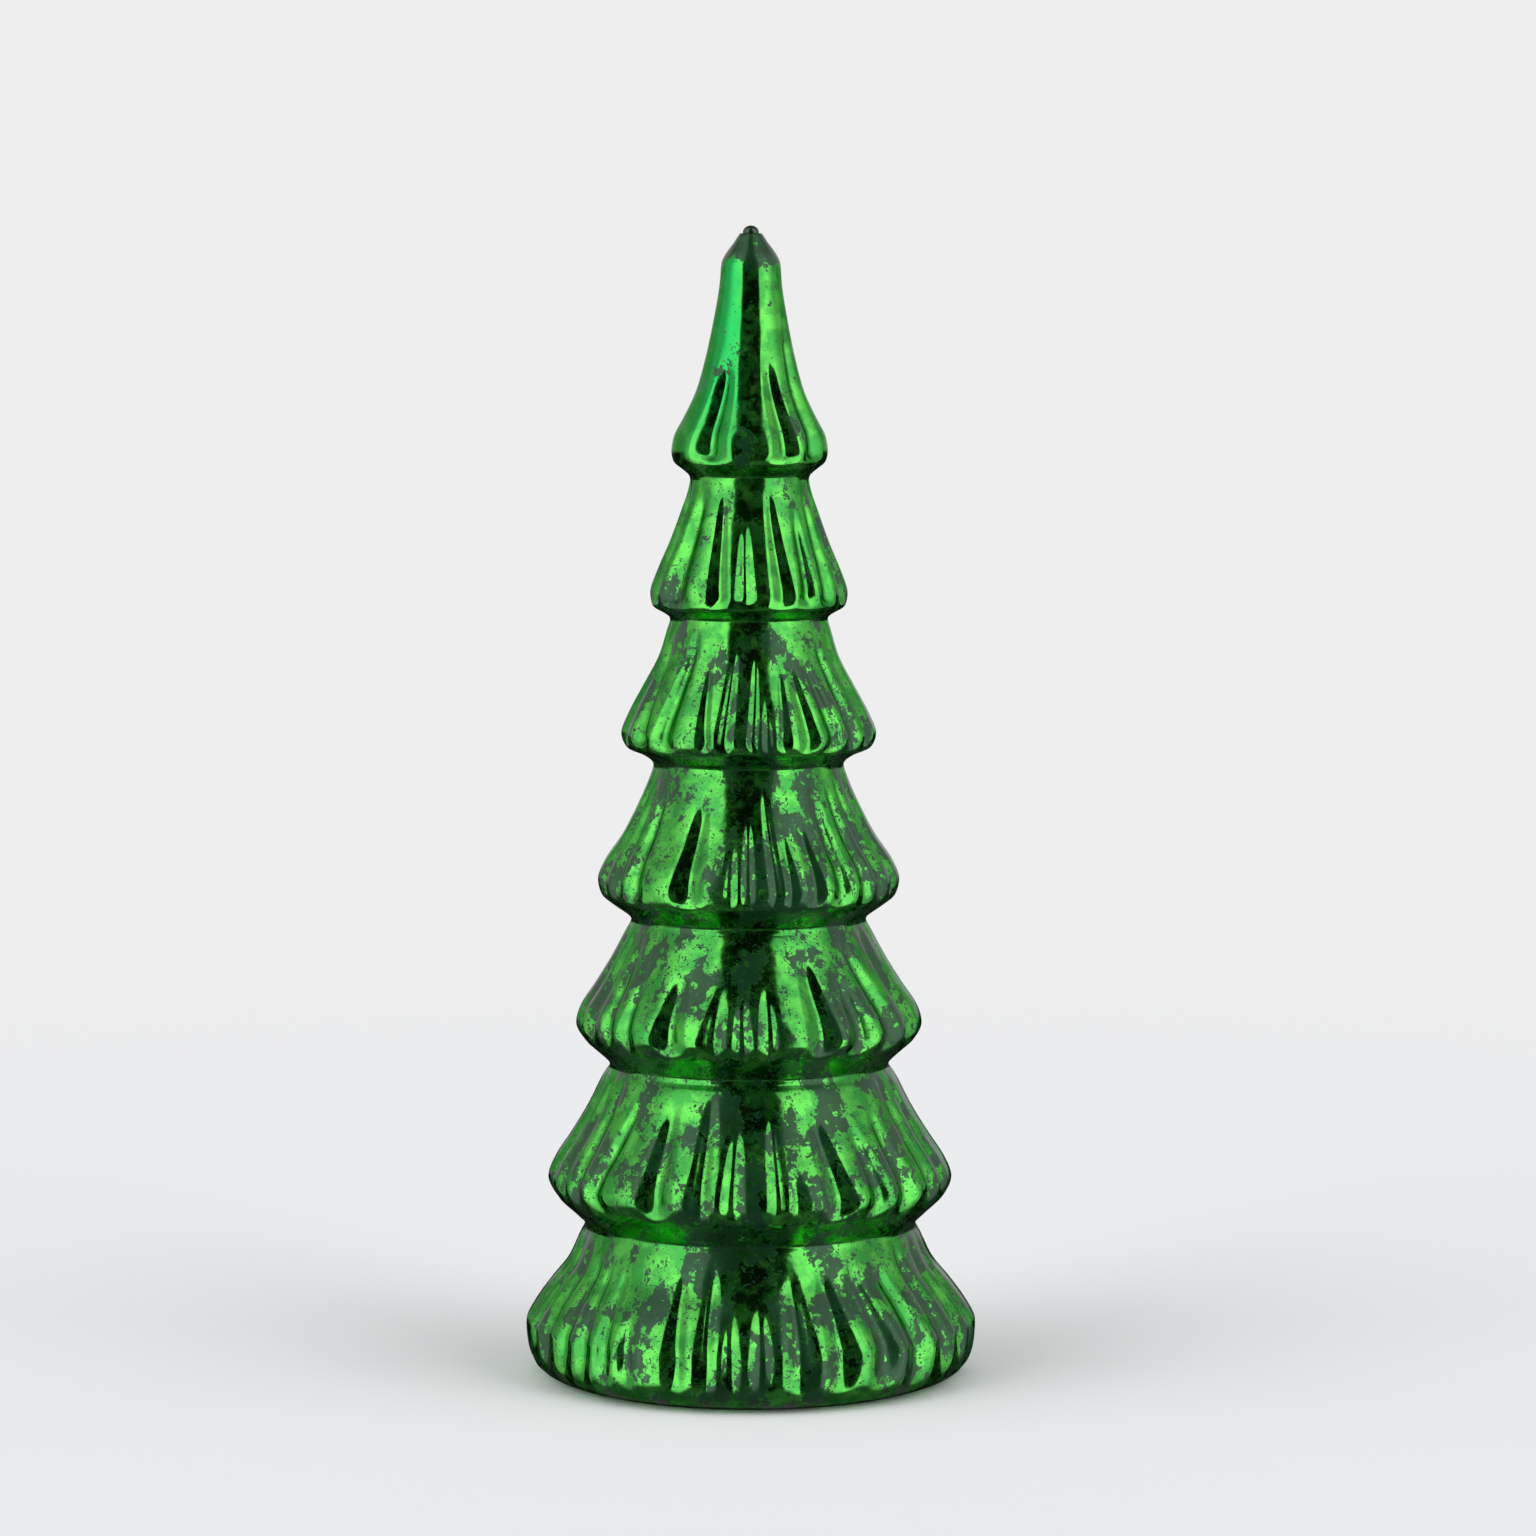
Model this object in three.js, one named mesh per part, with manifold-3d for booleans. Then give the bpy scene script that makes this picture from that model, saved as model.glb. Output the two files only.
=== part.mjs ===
import * as THREE from 'three';
import { mergeVertices } from 'three/addons/utils/BufferGeometryUtils.js';
import Module from 'manifold-3d';

const wasm = await Module();
wasm.setup();

// Seven-tier glass tree with a battery base and a light string inside.
// Millimetres. The tree stands on z = 0 with its axis on z. The photographed side faces -y.
// A bearing is counted in degrees from -y towards +x.

// Shared clearances, and the overlap that joins two solids of one piece
const SEAT_GAP = 0.3;
const SLIDE_GAP = 0.4;
const JOIN = 0.1;
const CUT_PAST = 1;

// Glass: outer profile of each tier from its top down, as [height, radius]
const TIERS = [
  {
    lip: 262.5,
    top: 315.2,
    profile: [
      [320.9, 4.8], [318.0, 7.0], [315.2, 8.4], [309.5, 8.8], [299.5, 10.4], [288.1, 12.8],
      [279.6, 15.2], [271.0, 19.3], [266.8, 21.5], [262.5, 22.2], [259.6, 21.6], [257.4, 19.0],
      [255.1, 16.8],
    ],
    // Creases of the photographed half: [bearing at the lip, bearing at its top, reach up the flank]
    creases: [[-33, -25, 0.5], [29, 15, 0.5], [57, 60, 0.66]],
  },
  {
    lip: 222.6,
    top: 255.1,
    profile: [
      [252.5, 17.2], [245.5, 19.5], [236.9, 22.6], [228.4, 26.2], [222.6, 28.0], [219.0, 27.3],
      [217.2, 24.6], [215.5, 22.6],
    ],
    creases: [
      [-78, -76, 1], [-50, -46, 0.9], [-18, -24, 0.9], [-2, -4, 0.66], [21, 17, 0.88],
      [37, 41, 0.75], [53, 59, 0.9], [75, 76, 1],
    ],
  },
  {
    lip: 182.8,
    top: 215.5,
    profile: [
      [213.0, 23.0], [205.5, 25.2], [197.0, 29.6], [188.4, 34.2], [182.8, 36.2], [179.2, 34.8],
      [177.1, 30.8], [174.2, 27.1],
    ],
    creases: [
      [-80, -80, 1], [-58, -68, 0.9], [-42, -38, 0.9], [-20, -26, 0.68], [-11, -8, 0.77],
      [2, 6, 0.75], [9, 10, 0.38], [16, 20, 0.62], [29, 24, 0.68], [43, 34, 0.7],
      [56, 52, 0.9], [72, 70, 1],
    ],
  },
  {
    lip: 141.5,
    top: 174.2,
    profile: [
      [171.5, 27.6], [162.9, 31.3], [154.3, 35.8], [146.5, 41.0], [141.5, 42.8], [137.5, 41.8],
      [134.4, 38.9], [130.1, 33.1],
    ],
    creases: [
      [-76, -76, 1], [-61, -66, 0.9], [-49, -54, 0.9], [-24, -24, 0.75], [-7, -7, 0.4],
      [0, 0, 0.66], [11, 8, 0.85], [17, 15, 0.5], [27, 25, 0.6], [39, 38, 0.85],
      [51, 50, 0.9], [61, 60, 1], [75, 75, 1],
    ],
  },
  {
    lip: 100.8,
    top: 130.1,
    profile: [
      [127.5, 34.6], [120.0, 38.6], [111.6, 43.8], [104.5, 48.3], [100.8, 49.2], [96.6, 47.5],
      [92.6, 43.5], [88.8, 39.3],
    ],
    creases: [
      [-80, -80, 1], [-66, -68, 1], [-54, -58, 0.9], [-45, -46, 0.6], [-28, -27, 0.62],
      [-12, -9, 0.45], [-2, -3, 0.45], [7, 7, 0.52], [26, 23, 0.76], [41, 36, 0.6],
      [56, 47, 0.95], [70, 66, 1],
    ],
  },
  {
    lip: 56.9,
    top: 88.8,
    profile: [
      [86.0, 41.4], [77.4, 45.8], [68.9, 51.0], [61.5, 55.8], [56.9, 57.5], [52.4, 55.8],
      [47.5, 51.2], [43.3, 47.0],
    ],
    creases: [
      [-80, -80, 1], [-68, -68, 1], [-59, -59, 1], [-50, -43, 0.87], [-28, -29, 0.79],
      [-14, -14, 0.85], [-5, -4, 0.66], [8, 8, 0.75], [14, 13, 0.3], [27, 22, 0.72],
      [40, 36, 0.65], [51, 48, 0.75], [64, 62, 1], [74, 73, 1],
    ],
  },
  {
    lip: 15.4,
    top: 43.3,
    profile: [
      [40.4, 48.5], [33.3, 51.8], [26.2, 57.5], [19.5, 62.2], [15.4, 64.1], [9.1, 63.6],
      [4.6, 62.3], [1.6, 59.0], [0, 54.0],
    ],
    creases: [
      [-82, -82, 1], [-74, -74, 1], [-65, -66, 1], [-55, -58, 0.9], [-47, -52, 0.8],
      [-40, -44, 0.8], [-33, -36, 0.38], [-19, -22, 0.81], [-11, -12, 0.85], [-5, -6, 0.45],
      [3, 3, 0.52], [13, 13, 0.74], [24, 23, 0.81], [37, 33, 0.81], [48, 44, 0.81],
      [59, 57, 1], [69, 68, 1], [79, 78, 1],
    ],
  },
];
const CREASE_EDGE_ANGLE = 25;
const CREASE_MAX_DEPTH = 1.5;
const CREASE_FADE_IN = 6;
const CREASE_END_BELOW_LIP = 8;
const PAD_SEGMENT_DEGREES = 9.5;
const GLASS_WALL = 2.6;
const GLASS_WALL_AT_CREASES = 3.0;
const FOOT_COLUMNS = 36;
const INNER_COLUMNS = 24;
const TIP_COLUMNS = 12;
const TIP_HOLE_R = 1.3;
const TIP_RIM_T = 2.6;
const TIP_CUP_DEPTH = 1.2;
const TIP_TOP_R = 3.2;
const TIP_WALL = 2.4;
const TIP_INNER_PROFILE = [[318.9, 3.2], [315.2, 5.4]];
const FOOT_RING_WIDTH = 3.5;
const FOOT_RING_TOP_Z = 5.6;
const FOOT_INNER_PROFILE = [[15.4, 60.2], [11.5, 59.0], [8.0, 55.5]];
const tipTopZ = TIERS[0].profile[0][0] + TIP_RIM_T;
const tipSeatZ = tipTopZ - TIP_CUP_DEPTH;
const footRingInnerR = TIERS[TIERS.length - 1].profile.at(-1)[1] - FOOT_RING_WIDTH;

// Drop that closes the tip
const PLUG_R = 2.3;
const PLUG_HEIGHT = 3.1;
const PLUG_STEM_LENGTH = 5;
// Outline of the drop, as [part of its radius, part of its height]
const PLUG_OUTLINE = [[0.9, 0], [1, 0.37], [0.93, 0.66], [0.6, 0.87], [0, 1]];
const PLUG_SIDES = 16;

// Base housing and the sealant round it
const FLOOR_Z = 2;
const FLOOR_T = 2;
const CUP_WALL = 2;
const CUP_TOP_Z = 24;
const CUP_SIDES = 48;
const PLASTIC_WALL = 1.6;
const SEALANT_WIDTH = 4;
const SEALANT_T = 3.2;
const SEALANT_SLOPE = 1;
const PILOT_SIDES = 16;

// Cells: size AAA
const CELL_R = 5.25;
const CELL_LENGTH = 44.5;
const CELL_NUB_R = 1.9;
const CELL_NUB_T = 1.2;
const CELL_PITCH = 11.2;
const CELL_EDGE = 0.6;
const CELL_SIDES = 20;
const CELL_REST_GAP = 0.1;

// Battery bay and door
const BAY_SIDE_GAP = 0.75;
const SPRING_ROOM = 3.75;
const BAY_CENTRE_Y = -2;
const BAY_TOP_Z = 17;
const PAD_HALF_X = 23;
const PAD_Y = [-37.2, 38];
const PAD_TOP_Z = 6;
const TAB_SLOT_HALF_Y = 0.6;
const DOOR_HALF_X = 19.1;
const DOOR_Y = [-32.5, 33];
const DOOR_T = 1.5;
const DOOR_DEPTH = 2;
const GRIP_ROWS = 5;
const GRIP_PITCH = 4;
const GRIP_HALF_WIDTH = 0.5;
const GRIP_DEPTH = 0.4;
const GRIP_INSET_X = 6;
const HOOK_X = 10.5;
const HOOK_HALF = 2.6;
const HOOK_REACH = 2.6;
const HOOK_T = 1;
const HOOK_SLOT_REACH = 4;
const HOOK_SLOT_MOUTH = 1.4;
const HOOK_SLOT_RELIEF = 1.2;
const HOOK_LIP_T = 0.5;
const FINGER_NOTCH_R = 6;
const FINGER_NOTCH_OFFSET = 3;
const FINGER_NOTCH_DEPTH = 1.2;
const FINGER_NOTCH_DOOR_DEPTH = 0.8;

// Door screw, held captive by a collar
const SCREW_Y = 29.2;
const DOOR_SCREW_HEAD_R = 2.5;
const DOOR_SCREW_HEAD_T = 1.2;
const DOOR_SCREW_RECESS = 0.1;
const DOOR_SCREW_R = 1;
const DOOR_SCREW_HOLE_GAP = 0.35;
const DOOR_SCREW_POINT = 1;
const DOOR_SCREW_TIP_Z = 12;
const DOOR_SCREW_COLLAR_R = 1.7;
const DOOR_SCREW_COLLAR_T = 0.5;
const DOOR_SCREW_TRAVEL = 3;
const DOOR_SCREW_SWING = 0.75;
const DOOR_SCREW_STOP_GAP = 0.2;
const DOOR_SCREW_SIDES = 20;
const DOOR_BOSS_R = 3.8;
const DOOR_BOSS_T = 1.6;
const DOOR_BOSS_GAP = 0.8;
const DOOR_POST_R = 4.6;
const DOOR_POST_TOP_Z = 14.5;
const DRIVE_SLOT_W = 0.6;
const DRIVE_SLOT_DEPTH = 0.5;
const DRIVE_SLOT_REACH = 0.65;

// Contacts
const CONTACT_T = 0.5;
const CONTACT_HALF_X = 4;
const CONTACT_Z = [4.8, 15];
const TAB_HALF_X = 1.5;
const TAB_TOP_Z = 21;
const SPRING_WIRE_R = 0.35;
const SPRING_BASE_R = 3.5;
const SPRING_END_R = 2.4;
const SPRING_TURNS = 2.5;
const SPRING_SIDES = 5;
const SPRING_STEPS_PER_TURN = 10;

// Timer board and what is on it
const BOARD_WIDTH = 13;
const BOARD_BAY_GAP = 2.7;
const BOARD_CUP_GAP = 3.5;
const BOARD_HALF_Y = 14;
const BOARD_Z = 12;
const BOARD_T = 1.2;
const BOARD_POST_Y = 11;
const BOARD_POST_R = 2.4;
const BOARD_PILOT_DEPTH = 7;
const SMALL_SCREW_R = 0.9;
const SMALL_SCREW_POINT = 1;
const SMALL_SCREW_HEAD_R = 1.9;
const SMALL_SCREW_HEAD_T = 1;
const SMALL_SCREW_SIDES = 16;
const BOARD_SCREW_LENGTH = 6;
// Parts on the board: x is counted from the board's centre line
const CHIP = { x: -2, y: 3, w: 3.9, l: 4.9, t: 1.5 };
const RESISTOR = { x: 3.5, y: 1, w: 1.6, l: 3.2, t: 0.6 };
const CRYSTAL = { x: 3.5, y: -5, r: 1, length: 6, sides: 12 };
const CAPACITOR = { x: -3, y: -4.5, r: 2, height: 5, edge: 0.4, sides: 16 };

// Slide switch
const SWITCH_TRAVEL = 2;
const SWITCH_CAN_HALF = [2.6, 4.9];
const SWITCH_CAN_Z = [7.4, 12];
const SWITCH_CAN_WALL = 0.8;
const SLIDER_BLOCK_HALF = [1.4, 1.8];
const SLIDER_STEM_HALF = [0.8, 1.1];
const SLIDER_KNOB_HALF = [1.7, 2];
const SLIDER_KNOB_Z = [0.9, 5.2];
const SLIDER_GROOVES = 3;
const SLIDER_GROOVE_PITCH = 1.1;
const SLIDER_GROOVE_HALF_WIDTH = 0.25;
const SLIDER_GROOVE_DEPTH = 0.3;

// Lid and mast
const LID_T = 2;
const LID_SPIGOT_T = 1.4;
const LID_SCREW_BEARINGS = [-90, 50, 130];
const LID_SCREW_INSET = 4.5;
const LID_SCREW_LENGTH = 8;
const LID_PILOT_DEPTH = 10;
const LID_POST_R = 2.6;
const LID_SCREW_HEAD_R = 2.2;
const LID_WIRE_HOLE_X = 10;
const LID_WIRE_HOLE_R = 1.2;
const MAST_R = 4;
const MAST_BORE_R = 3.1;
const MAST_TOP_Z = 235;
const MAST_SOCKET_R = 6.4;
const MAST_SOCKET_TOP_Z = 37;
const MAST_SEAT_Z = 25;
const MAST_SIDES = 20;
const MAST_CAP_R = 4.8;
const MAST_CAP_T = 2;
const MAST_SPIGOT_LENGTH = 4;

// Light wire and its lamps
const WIRE_R = 0.35;
const WIRE_SIDES = 4;
const WIRE_LEAD_STEPS = 12;
const WIRE_BOARD_GAP = 0.1;
// Ways of the wire: first from the board's centre line and top, then from the lid's top
const WIRE_FROM_BOARD = [[-5.4, 9, 0], [-7.4, 6, 3.55], [-11, 2, 6.95], [-16, 0, 7.55]];
const WIRE_ABOVE_LID = [[10, 0, 0.9], [9, 0, 7.6], [7.6, 0, 12.6]];
const COIL_GAP = 0.65;
const COIL_Z = [44, 228];
const COIL_TURNS = 10;
const COIL_STEPS_PER_TURN = 11;
const LED_COUNT = 10;
const LED_R = 1.2;
const LED_LENGTH = 3;
const LED_FACETS = [8, 6];

// Battery leads
const LEAD_R = 0.6;
const LEAD_SIDES = 6;
const LEAD_STEPS = 18;
const LEAD_END_BELOW_TAB = 1;
// Ways of the leads from the terminal tabs to the board, counted from the board's centre line and top
const RED_LEAD_WAY = [[-14, -23, 7.4], [-8.5, -16, 5.8], [-5, -9, 1.7], [-5, -6.5, 0.7]];
const BLACK_LEAD_WAY = [
  [-34, 21, 7.2], [-22, 18, 7.2], [-10, 15, 6.4], [-4, 8.6, 2.7], [-2.5, 7.5, 0.7],
];

const toRadians = THREE.MathUtils.degToRad;

const place = (radius, bearing, z) => new THREE.Vector3(
  radius * Math.sin(toRadians(bearing)),
  -radius * Math.cos(toRadians(bearing)),
  z,
);

const smoothStep = (t) => THREE.MathUtils.smoothstep(t, 0, 1);

const welded = (geometry) => {
  geometry.deleteAttribute('normal');
  geometry.deleteAttribute('uv');
  return mergeVertices(geometry, 1e-5);
};

const solid = (geometry) => {
  const clean = welded(geometry);
  return new wasm.Manifold(new wasm.Mesh({
    numProp: 3,
    vertProperties: new Float32Array(clean.attributes.position.array),
    triVerts: new Uint32Array(clean.index.array),
  }));
};

const surface = (manifold) => {
  const mesh = manifold.getMesh();
  const geometry = new THREE.BufferGeometry();
  geometry.setAttribute('position', new THREE.BufferAttribute(new Float32Array(mesh.vertProperties), 3));
  geometry.setIndex(new THREE.BufferAttribute(new Uint32Array(mesh.triVerts), 1));
  return geometry;
};

const box = (x, y, z) => {
  const geometry = new THREE.BoxGeometry(x[1] - x[0], y[1] - y[0], z[1] - z[0]);
  geometry.translate((x[0] + x[1]) / 2, (y[0] + y[1]) / 2, (z[0] + z[1]) / 2);
  return geometry;
};

const around = (centre, half) => [centre - half, centre + half];

const rod = (radius, z, x = 0, y = 0, sides = 24) => {
  const geometry = new THREE.CylinderGeometry(radius, radius, z[1] - z[0], sides);
  geometry.rotateX(Math.PI / 2);
  geometry.translate(x, y, (z[0] + z[1]) / 2);
  return geometry;
};

const turned = (profile, sides, x = 0, y = 0) => {
  const points = profile.map(([radius, z]) => new THREE.Vector2(radius, z));
  const geometry = new THREE.LatheGeometry(points, sides);
  geometry.rotateX(Math.PI / 2);
  geometry.translate(x, y, 0);
  return geometry;
};

const swept = (points, radius, sides, steps) => {
  const section = new THREE.Shape();
  for (let i = 0; i < sides; i += 1) {
    const angle = (2 * Math.PI * i) / sides;
    const x = radius * Math.cos(angle);
    const y = radius * Math.sin(angle);
    if (i === 0) {
      section.moveTo(x, y);
    } else {
      section.lineTo(x, y);
    }
  }
  section.closePath();
  const path = new THREE.CatmullRomCurve3(points, false, 'centripetal');
  return new THREE.ExtrudeGeometry(section, { steps, bevelEnabled: false, extrudePath: path });
};

const root = new THREE.Group();
root.name = 'led_christmas_tree';

const addPiece = (name, geometry, look) => {
  const mesh = new THREE.Mesh(geometry, new THREE.MeshStandardMaterial(look));
  mesh.name = name;
  root.add(mesh);
  return mesh;
};

const GLASS_GREEN = { color: 0x1f9a34, roughness: 0.12, metalness: 0.55 };
const DARK_GLASS = { color: 0x12281a, roughness: 0.15, metalness: 0 };
const CLEAR_SEALANT = { color: 0xd4dcd6, roughness: 0.35, metalness: 0 };
const BLACK_PLASTIC = { color: 0x1b1d1c, roughness: 0.55, metalness: 0 };
const SWITCH_PLASTIC = { color: 0xe4e4df, roughness: 0.45, metalness: 0 };
const CLEAR_PLASTIC = { color: 0xdfe8e8, roughness: 0.15, metalness: 0 };
const STEEL = { color: 0xb9bcbd, roughness: 0.3, metalness: 1 };
const DARK_STEEL = { color: 0x55585a, roughness: 0.35, metalness: 1 };
const CELL_SLEEVE = { color: 0x2d5fa8, roughness: 0.35, metalness: 0.1 };
const BOARD_BROWN = { color: 0x9a7440, roughness: 0.6, metalness: 0 };
const CHIP_BLACK = { color: 0x16171a, roughness: 0.5, metalness: 0 };
const CAPACITOR_SLEEVE = { color: 0x20304a, roughness: 0.4, metalness: 0 };
const COPPER = { color: 0xb87345, roughness: 0.35, metalness: 1 };
const LED_RESIN = { color: 0xf2e7b8, roughness: 0.2, metalness: 0 };
const RED_LEAD = { color: 0xb3261e, roughness: 0.5, metalness: 0 };
const BLACK_LEAD = { color: 0x141414, roughness: 0.5, metalness: 0 };

// Creases of one tier all round: the second half repeats the first, as mould halves do
const creasesOf = (tier) => {
  const half = tier.creases;
  const all = [...half, ...half.map(([low, high, reach]) => [low + 180, high + 180, reach])];
  const lipRadius = tier.profile.find(([z]) => z === tier.lip)[1];
  return all.map(([low, high, reach], i) => {
    const before = i === 0 ? all[all.length - 1][0] - 360 : all[i - 1][0];
    const after = i === all.length - 1 ? all[0][0] + 360 : all[i + 1][0];
    const halfWidth = (toRadians(after - before) / 4) * lipRadius;
    const depth = Math.min(CREASE_MAX_DEPTH, (Math.tan(toRadians(CREASE_EDGE_ANGLE)) * halfWidth) / 2);
    return { low, high, depth, start: tier.lip + reach * (tier.top - tier.lip) };
  });
};

// Depth of a crease at a height: it fades in below its start and ends on the lip's underside
const creaseDepth = (tier, crease, z) => {
  const opening = smoothStep((crease.start - z) / CREASE_FADE_IN);
  const ending = smoothStep((z - tier.lip + CREASE_END_BELOW_LIP) / CREASE_END_BELOW_LIP);
  return crease.depth * opening * ending;
};

// One ring of a tier: convex pads between creases
const padRing = (tier, creases, z, radius) => {
  const rise = THREE.MathUtils.clamp((z - tier.lip) / (tier.top - tier.lip), 0, 1);
  const bearingOf = (crease) => THREE.MathUtils.lerp(crease.low, crease.high, rise);
  const ring = [];
  creases.forEach((crease, i) => {
    const wraps = i === creases.length - 1;
    const next = wraps ? creases[0] : creases[i + 1];
    const from = bearingOf(crease);
    const to = bearingOf(next) + (wraps ? 360 : 0);
    const widthAtLip = next.low + (wraps ? 360 : 0) - crease.low;
    const segments = Math.max(2, Math.round(widthAtLip / PAD_SEGMENT_DEGREES));
    for (let k = 0; k < segments; k += 1) {
      const across = (2 * k) / segments - 1;
      const side = across < 0 ? creaseDepth(tier, crease, z) : creaseDepth(tier, next, z);
      const bearing = THREE.MathUtils.lerp(from, to, k / segments);
      ring.push({ bearing, point: place(radius - side * across * across, bearing, z) });
    }
  });
  return ring;
};

const roundRing = (columns, z, radius) => Array.from({ length: columns }, (_, i) => {
  const bearing = -90 + (360 * i) / columns;
  return { bearing, point: place(radius, bearing, z) };
});

// Joins a loop of rings into one closed surface, also where neighbours differ in column count
const skin = (rings) => {
  const positions = [];
  const index = [];
  const starts = rings.map((ring) => {
    const start = positions.length / 3;
    ring.forEach(({ point }) => positions.push(point.x, point.y, point.z));
    return start;
  });
  rings.forEach((lower, n) => {
    const m = (n + 1) % rings.length;
    const upper = rings[m];
    const at = (ring, start, i) => start + (i % ring.length);
    const bearing = (ring, i) => ring[i % ring.length].bearing + 360 * Math.floor(i / ring.length);
    let i = 0;
    let j = 0;
    while (i < lower.length || j < upper.length) {
      const nextLower = i < lower.length ? bearing(lower, i + 1) : Infinity;
      const nextUpper = j < upper.length ? bearing(upper, j + 1) : Infinity;
      if (nextLower <= nextUpper) {
        index.push(at(lower, starts[n], i), at(lower, starts[n], i + 1), at(upper, starts[m], j));
        i += 1;
      } else {
        index.push(at(lower, starts[n], i), at(upper, starts[m], j + 1), at(upper, starts[m], j));
        j += 1;
      }
    }
  });
  const geometry = new THREE.BufferGeometry();
  geometry.setAttribute('position', new THREE.Float32BufferAttribute(positions, 3));
  geometry.setIndex(index);
  return geometry;
};

// Glass shell: outer rings up to the tip, through its cup and hole and down the inner face
const tipCupR = PLUG_R + SEAT_GAP;
const glassRings = () => {
  const outer = [];
  const inner = [];
  TIERS.forEach((tier, t) => {
    const creases = creasesOf(tier);
    tier.profile.forEach(([z, radius]) => {
      outer.push(padRing(tier, creases, z, radius));
    });
    const isBottom = t === TIERS.length - 1;
    tier.profile.forEach(([z, radius], i) => {
      const isNeck = i === tier.profile.length - 1;
      const skipped = i === 0 || z > tier.top - 1 || (isBottom && z <= tier.lip);
      if (skipped) {
        return;
      }
      const wall = isNeck ? GLASS_WALL : GLASS_WALL_AT_CREASES;
      inner.push(roundRing(isBottom ? FOOT_COLUMNS : INNER_COLUMNS, z, radius - wall));
    });
  });
  const tip = [
    roundRing(TIP_COLUMNS, tipTopZ, TIP_TOP_R),
    roundRing(TIP_COLUMNS, tipTopZ, tipCupR),
    roundRing(TIP_COLUMNS, tipSeatZ, tipCupR),
    roundRing(TIP_COLUMNS, tipSeatZ, TIP_HOLE_R),
    roundRing(TIP_COLUMNS, tipSeatZ - TIP_WALL, TIP_HOLE_R),
    ...TIP_INNER_PROFILE.map(([z, radius]) => roundRing(TIP_COLUMNS, z, radius)),
  ];
  const foot = FOOT_INNER_PROFILE.map(([z, radius]) => roundRing(FOOT_COLUMNS, z, radius));
  foot.push(roundRing(FOOT_COLUMNS, FOOT_RING_TOP_Z, footRingInnerR));
  foot.push(roundRing(FOOT_COLUMNS, 0, footRingInnerR));
  return [...outer.reverse(), ...tip, ...inner, ...foot];
};
addPiece('glass_shell', skin(glassRings()), GLASS_GREEN);

// Tip plug: a drop in the tip's cup, with a stem in the tip hole
const plugSeatZ = tipSeatZ + SEAT_GAP;
const plugStemR = TIP_HOLE_R - SEAT_GAP;
addPiece('tip_plug', turned([
  [0, plugSeatZ - PLUG_STEM_LENGTH],
  [plugStemR, plugSeatZ - PLUG_STEM_LENGTH],
  [plugStemR, plugSeatZ],
  ...PLUG_OUTLINE.map(([r, h]) => [PLUG_R * r, plugSeatZ + PLUG_HEIGHT * h]),
], PLUG_SIDES), DARK_GLASS);

// Sealant ring between the flange and the glass foot
const flangeR = footRingInnerR - SEALANT_WIDTH;
const sealantInner = flangeR + SEAT_GAP;
const sealantOuter = footRingInnerR * Math.cos(Math.PI / FOOT_COLUMNS) - SEAT_GAP;
const sealantZ = [FLOOR_Z, FLOOR_Z + SEALANT_T];
addPiece('seat_sealant', turned([
  [sealantInner, sealantZ[0]],
  [sealantOuter, sealantZ[0]],
  [sealantOuter, sealantZ[1]],
  [sealantInner, sealantZ[1] - SEALANT_SLOPE],
  [sealantInner, sealantZ[0]],
], FOOT_COLUMNS), CLEAR_SEALANT);

// Base housing
const bayHalfX = CELL_PITCH + CELL_R + BAY_SIDE_GAP;
const bayHalfY = CELL_LENGTH / 2 + SPRING_ROOM;
const floorTopZ = FLOOR_Z + FLOOR_T;
const doorTopZ = FLOOR_Z + DOOR_DEPTH;
const doorBottomZ = doorTopZ - SEAT_GAP - DOOR_T;
const screwBossTopZ = doorTopZ - SEAT_GAP + DOOR_BOSS_T;
const doorHoleR = DOOR_SCREW_R + DOOR_SCREW_HOLE_GAP;
const postBoreR = DOOR_SCREW_COLLAR_R + DOOR_SCREW_SWING;
const slotHalfX = SLIDER_KNOB_HALF[0] + SLIDE_GAP;
const slotHalfY = SLIDER_KNOB_HALF[1] + SWITCH_TRAVEL + SLIDE_GAP;
const boardCentreX = bayHalfX + PLASTIC_WALL + BOARD_BAY_GAP + BOARD_WIDTH / 2;
const boardX = [boardCentreX - BOARD_WIDTH / 2, boardCentreX + BOARD_WIDTH / 2];
const cupInnerR = boardX[1] + BOARD_CUP_GAP;
const cupR = cupInnerR + CUP_WALL;
const lidScrewSpots = LID_SCREW_BEARINGS.map((bearing) => place(cupInnerR - LID_SCREW_INSET, bearing, 0));
const lidPostTopZ = CUP_TOP_Z - LID_SPIGOT_T - SEAT_GAP;
const pilotR = SMALL_SCREW_R + SEAT_GAP;
const baySides = [-bayHalfX, bayHalfX];

const hookSlot = (side) => {
  const x = around(side * HOOK_X, HOOK_HALF + SLIDE_GAP);
  const y = [DOOR_Y[0] - HOOK_SLOT_REACH, DOOR_Y[0] + HOOK_SLOT_RELIEF];
  const above = solid(box(x, y, [FLOOR_Z + HOOK_LIP_T, PAD_TOP_Z + JOIN]));
  const mouth = solid(box(x, [DOOR_Y[0] - HOOK_SLOT_MOUTH, y[1]], [FLOOR_Z - JOIN, PAD_TOP_Z]));
  return above.add(mouth);
};

const fingerNotch = (topZ) => solid(
  rod(FINGER_NOTCH_R, [FLOOR_Z - CUT_PAST, topZ], 0, DOOR_Y[1] + FINGER_NOTCH_OFFSET),
);

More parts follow.
